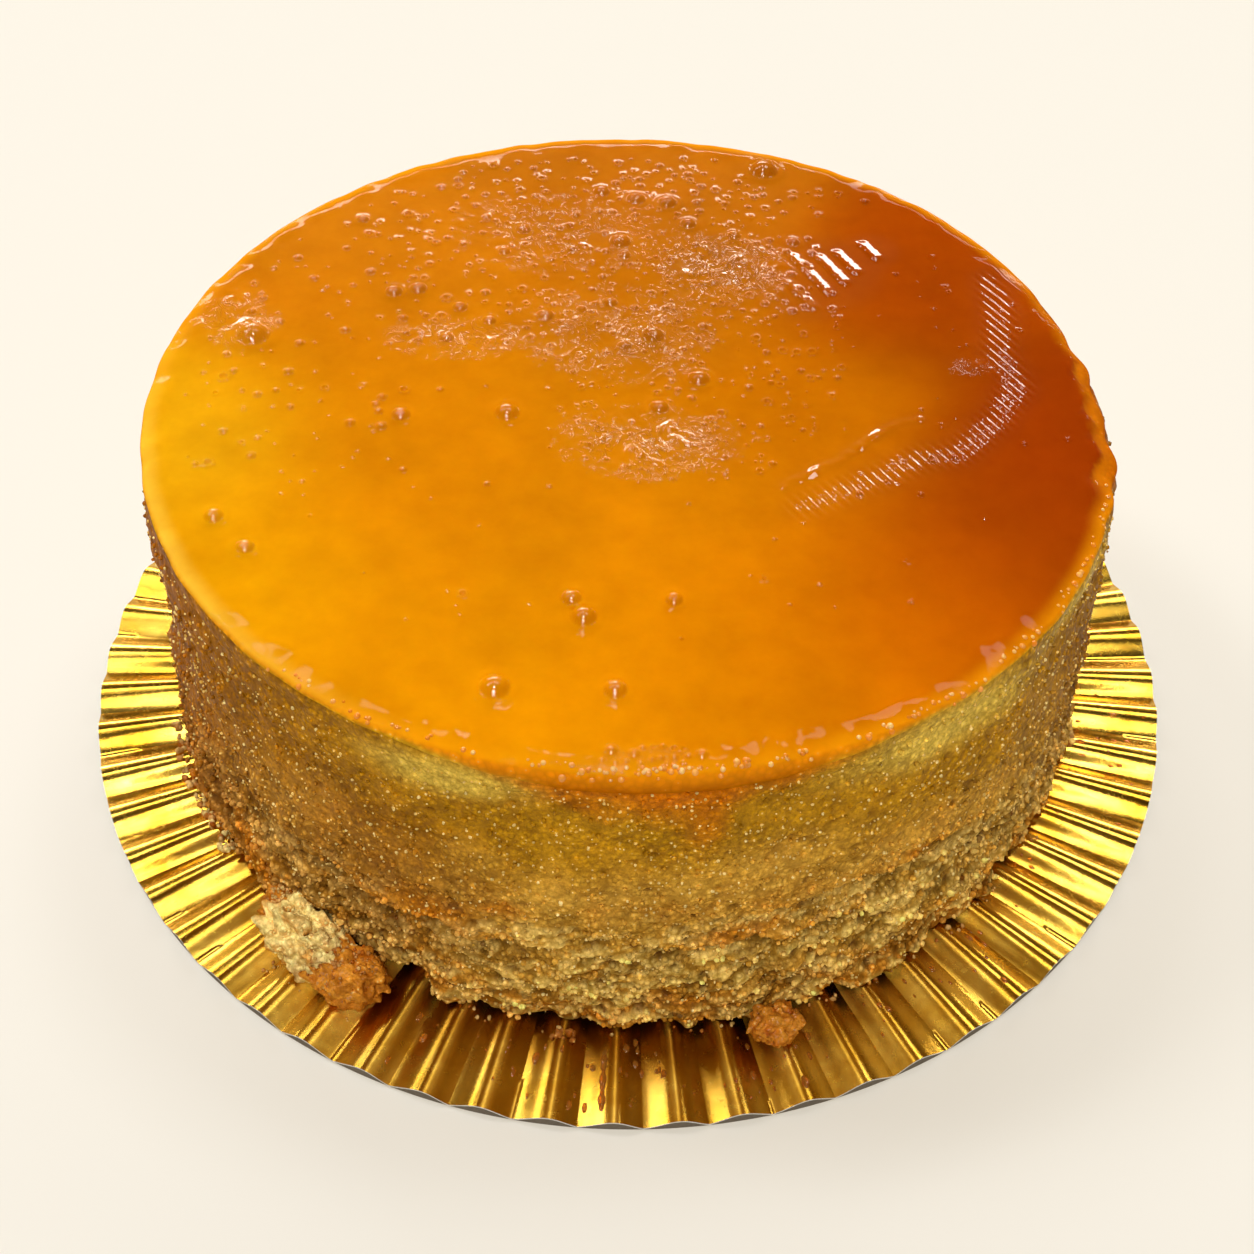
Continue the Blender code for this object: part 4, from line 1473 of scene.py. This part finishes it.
def make_drops():
    """Small drops of syrup, drawn out away from the cake, and one long drip of nine."""
    draw = np.random.default_rng(SEED + 8)
    unit, triangles = ball(2)
    points = []

    def add(distance, turn, size, stretch):
        x, y = distance * math.cos(turn), distance * math.sin(turn)
        shape = unit * np.array([size * stretch, size, size * 0.45])
        turned_x = shape[:, 0] * math.cos(turn) - shape[:, 1] * math.sin(turn)
        turned_y = shape[:, 0] * math.sin(turn) + shape[:, 1] * math.cos(turn)
        ground = float(board_surface(np.array([math.atan2(y, x)]), np.array([math.hypot(x, y)]))[0])
        points.append(np.stack([x + turned_x, y + turned_y, ground + shape[:, 2]], -1))

    for turn, turn_spread, reach, reach_spread, count, (small, large) in DROP_PATCHES:
        for _ in range(count):
            angle = math.radians(turn + turn_spread * draw.uniform(-1, 1))
            distance = (reach + reach_spread * draw.uniform(-1, 1)) * MM
            size = (small + (large - small) * draw.random() ** 2) * MM
            add(distance, angle, size, 1 + 1.2 * draw.random())
    turn, start, end, width = DRIP
    angle = math.radians(turn)
    for share in np.linspace(0, 1, 9):
        distance = (start + (end - start) * share) * MM
        size = width * MM * (0.55 + 0.45 * math.sin(share * 9) ** 2)
        add(distance, angle, size, 1.8)
    return copies("syrup_drops", np.array(points), triangles)


def syrup_material():
    syrup = Shader("syrup", Roughness=0.06, Transmission_Weight=0.75, IOR=1.45)
    streaks = syrup.noise(1.5 * MM, 2)
    syrup.link(syrup.blend(streaks, colour4(rgb(214, 120, 24)), colour4(rgb(240, 170, 70))),
               "Base Color")
    return syrup.material


# Camera, floor and lights

LENS_PIXELS = 2000.0
PHOTO_PIXELS = 1254.0
CAMERA_PLACE = Vector((-0.30 * MM, -267.55 * MM, 286.0 * MM))
CAMERA_DOWN = math.radians(45.72)
CAMERA_ROLL = math.radians(0.32)
LAMP_DISTANCE = 8.0
LAMP_WHITE = (1.0, 0.98, 0.94)
# Lamps: name, azimuth and elevation in degrees, width, height, radiance, colour
LAMPS = [
    ("key_lamp", 184, 51, 2.4, 2.4, 18.4, LAMP_WHITE),
    ("spark_lamp", 172, 80, 0.4, 0.4, 130.0, LAMP_WHITE),
    ("back_window", 0, 20, 8.4, 0.8, 20.0, (1.0, 0.93, 0.82)),
    ("left_lamp", -64, 50, 1.9, 1.9, 15.5, (1.0, 0.97, 0.92)),
    ("overhead_lamp", 180, 86, 1.0, 1.0, 22.0, LAMP_WHITE),
    ("left_panel", -38, 60, 2.0, 0.9, 9.0, LAMP_WHITE),
    ("right_panel", 38, 60, 2.4, 1.6, 9.0, LAMP_WHITE),
    ("crest_strip", 0, 60, 0.4, 1.4, 16.0, LAMP_WHITE),
]
ROOM_LOW_BEHIND = (0.62, 0.47, 0.28, 1)
ROOM_BEHIND = (0.29, 0.21, 0.11, 1)
ROOM_FRONT = (0.10, 0.09, 0.08, 1)
ROOM_ABOVE = (0.02, 0.018, 0.015, 1)
FLOOR_HALF = 30.0
FLOOR_TONE = rgb(187, 189, 190)
FLOOR_GLOW = rgb(255, 235, 199)


def make_camera():
    """The camera of the photo, fitted to the board's rim."""
    data = bpy.data.cameras.new("camera")
    data.sensor_width = 36
    data.sensor_fit = "HORIZONTAL"
    data.lens = 36 * LENS_PIXELS / PHOTO_PIXELS
    data.clip_start = 0.01
    camera = bpy.data.objects.new("camera", data)
    ahead = Vector((0, math.cos(CAMERA_DOWN), -math.sin(CAMERA_DOWN)))
    level = Vector((1, 0, 0))
    upright = level.cross(ahead)
    right = math.cos(CAMERA_ROLL) * level + math.sin(CAMERA_ROLL) * upright
    up = -math.sin(CAMERA_ROLL) * level + math.cos(CAMERA_ROLL) * upright
    turned = Matrix((right, up, -ahead)).transposed().to_4x4()
    camera.matrix_world = Matrix.Translation(CAMERA_PLACE) @ turned
    bpy.context.scene.collection.objects.link(camera)
    bpy.context.scene.camera = camera


def aim_light(name, azimuth, elevation, width, height, radiance, colour):
    """A rectangular light on a sphere round the cake; azimuth 0 is behind it, 90 to its right."""
    data = bpy.data.lights.new(name, "AREA")
    data.shape = "RECTANGLE"
    data.size = width
    data.size_y = height
    data.energy = radiance * width * height * math.pi
    data.color = colour
    light = bpy.data.objects.new(name, data)
    turn, lift = math.radians(azimuth), math.radians(elevation)
    way = Vector((math.sin(turn) * math.cos(lift), math.cos(turn) * math.cos(lift), math.sin(lift)))
    light.location = way * LAMP_DISTANCE + Vector((0, 0, 40 * MM))
    light.rotation_euler = way.to_track_quat("Z", "Y").to_euler()
    bpy.context.scene.collection.objects.link(light)


def make_world():
    """A dim room: pale low behind the cake, dark above it and in front."""
    world = bpy.data.worlds.new("room")
    bpy.context.scene.world = world
    world.use_nodes = True
    nodes = Nodes(world.node_tree)
    way = nodes.node("ShaderNodeTexCoord").outputs["Generated"]
    split = nodes.node("ShaderNodeSeparateXYZ", {0: way}).outputs
    behind = nodes.blend(nodes.spread(split["Z"], 0.38, 0.50), ROOM_LOW_BEHIND, ROOM_BEHIND)
    low = nodes.blend(nodes.spread(split["Y"], 0.62, 0.30), behind, ROOM_FRONT)
    room = nodes.blend(nodes.spread(split["Z"], 0.52, 0.68), low, ROOM_ABOVE)
    nodes.tree.links.new(room, nodes.tree.nodes["Background"].inputs["Color"])


def make_floor():
    """A wide warm sheet of paper, just under the board."""
    x, y = np.array([(-1, 1, 1, -1), (-1, -1, 1, 1)]) * FLOOR_HALF
    floor = new_object("floor", np.stack([x, y, 0 * x], -1), [(0, 1, 2, 3)])
    floor.location.z = -0.02 * MM
    paper = Shader("paper_floor", Roughness=0.9, Base_Color=colour4(FLOOR_TONE), Specular_IOR_Level=0.0,
                   Emission_Color=colour4(FLOOR_GLOW), Emission_Strength=0.32)
    floor.data.materials.append(paper.material)


def finish_piece(piece, materials, nodes=()):
    """Give a piece its materials and its body, and hide the nodes that it stands for."""
    for material in materials:
        piece.data.materials.append(material)
    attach(piece, "root")
    if nodes:
        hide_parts(*nodes)


make_camera()
make_world()
make_floor()
for lamp in LAMPS:
    aim_light(*lamp)
bpy.context.scene.view_settings.view_transform = "Standard"
bpy.context.scene.view_settings.look = "None"

finish_piece(
    make_board(),
    [foil_material(), card_material("paper_edge", rgb(236, 232, 222), 0.3 * MM),
     card_material("pulp_card", rgb(116, 104, 88), 0.5 * MM)],
    ["cake_board"],
)
side_material = crumb_material("custard_sponge", 0.55, 0.1)
grain_material = crumb_material("wet_crumb", 0.45, 0.25)
sponge, side_points, side_tints, side_out = make_sponge()
finish_piece(sponge, [side_material], ["flan_body"])
finish_piece(make_side_grains(side_points, side_tints, side_out), [grain_material])
finish_piece(make_glints(side_points, side_out), [grain_material])
glaze = caramel_material()
finish_piece(make_caramel(), [glaze], ["caramel_layer"])
finish_piece(make_rim_beads(), [glaze])
chunk_material = crumb_material("broken_crumb", 0.55, 0.25)
finish_piece(
    make_chunk("chunk_left", LEFT_CHUNK + LEFT_FILLING,
               [(CRUMB_PALE, CRUMB_GOLD), (CRUMB_GOLD, CRUMB_BROWN), (CRUMB_GOLD, CRUMB_BROWN),
                (CRUMB_PALE, CRUMB_BROWN)], 71),
    [chunk_material], ["crumb_left"],
)
finish_piece(make_chunk("chunk_front", FRONT_CHUNK, [(CRUMB_GOLD, SOAKED)], 73),
             [crumb_material("soaked_crumb", 0.4, 0.6)], ["crumb_front"])
finish_piece(make_chunk_grains(), [chunk_material])
finish_piece(make_strewn_crumbs(), [chunk_material])
finish_piece(make_drops(), [syrup_material()])
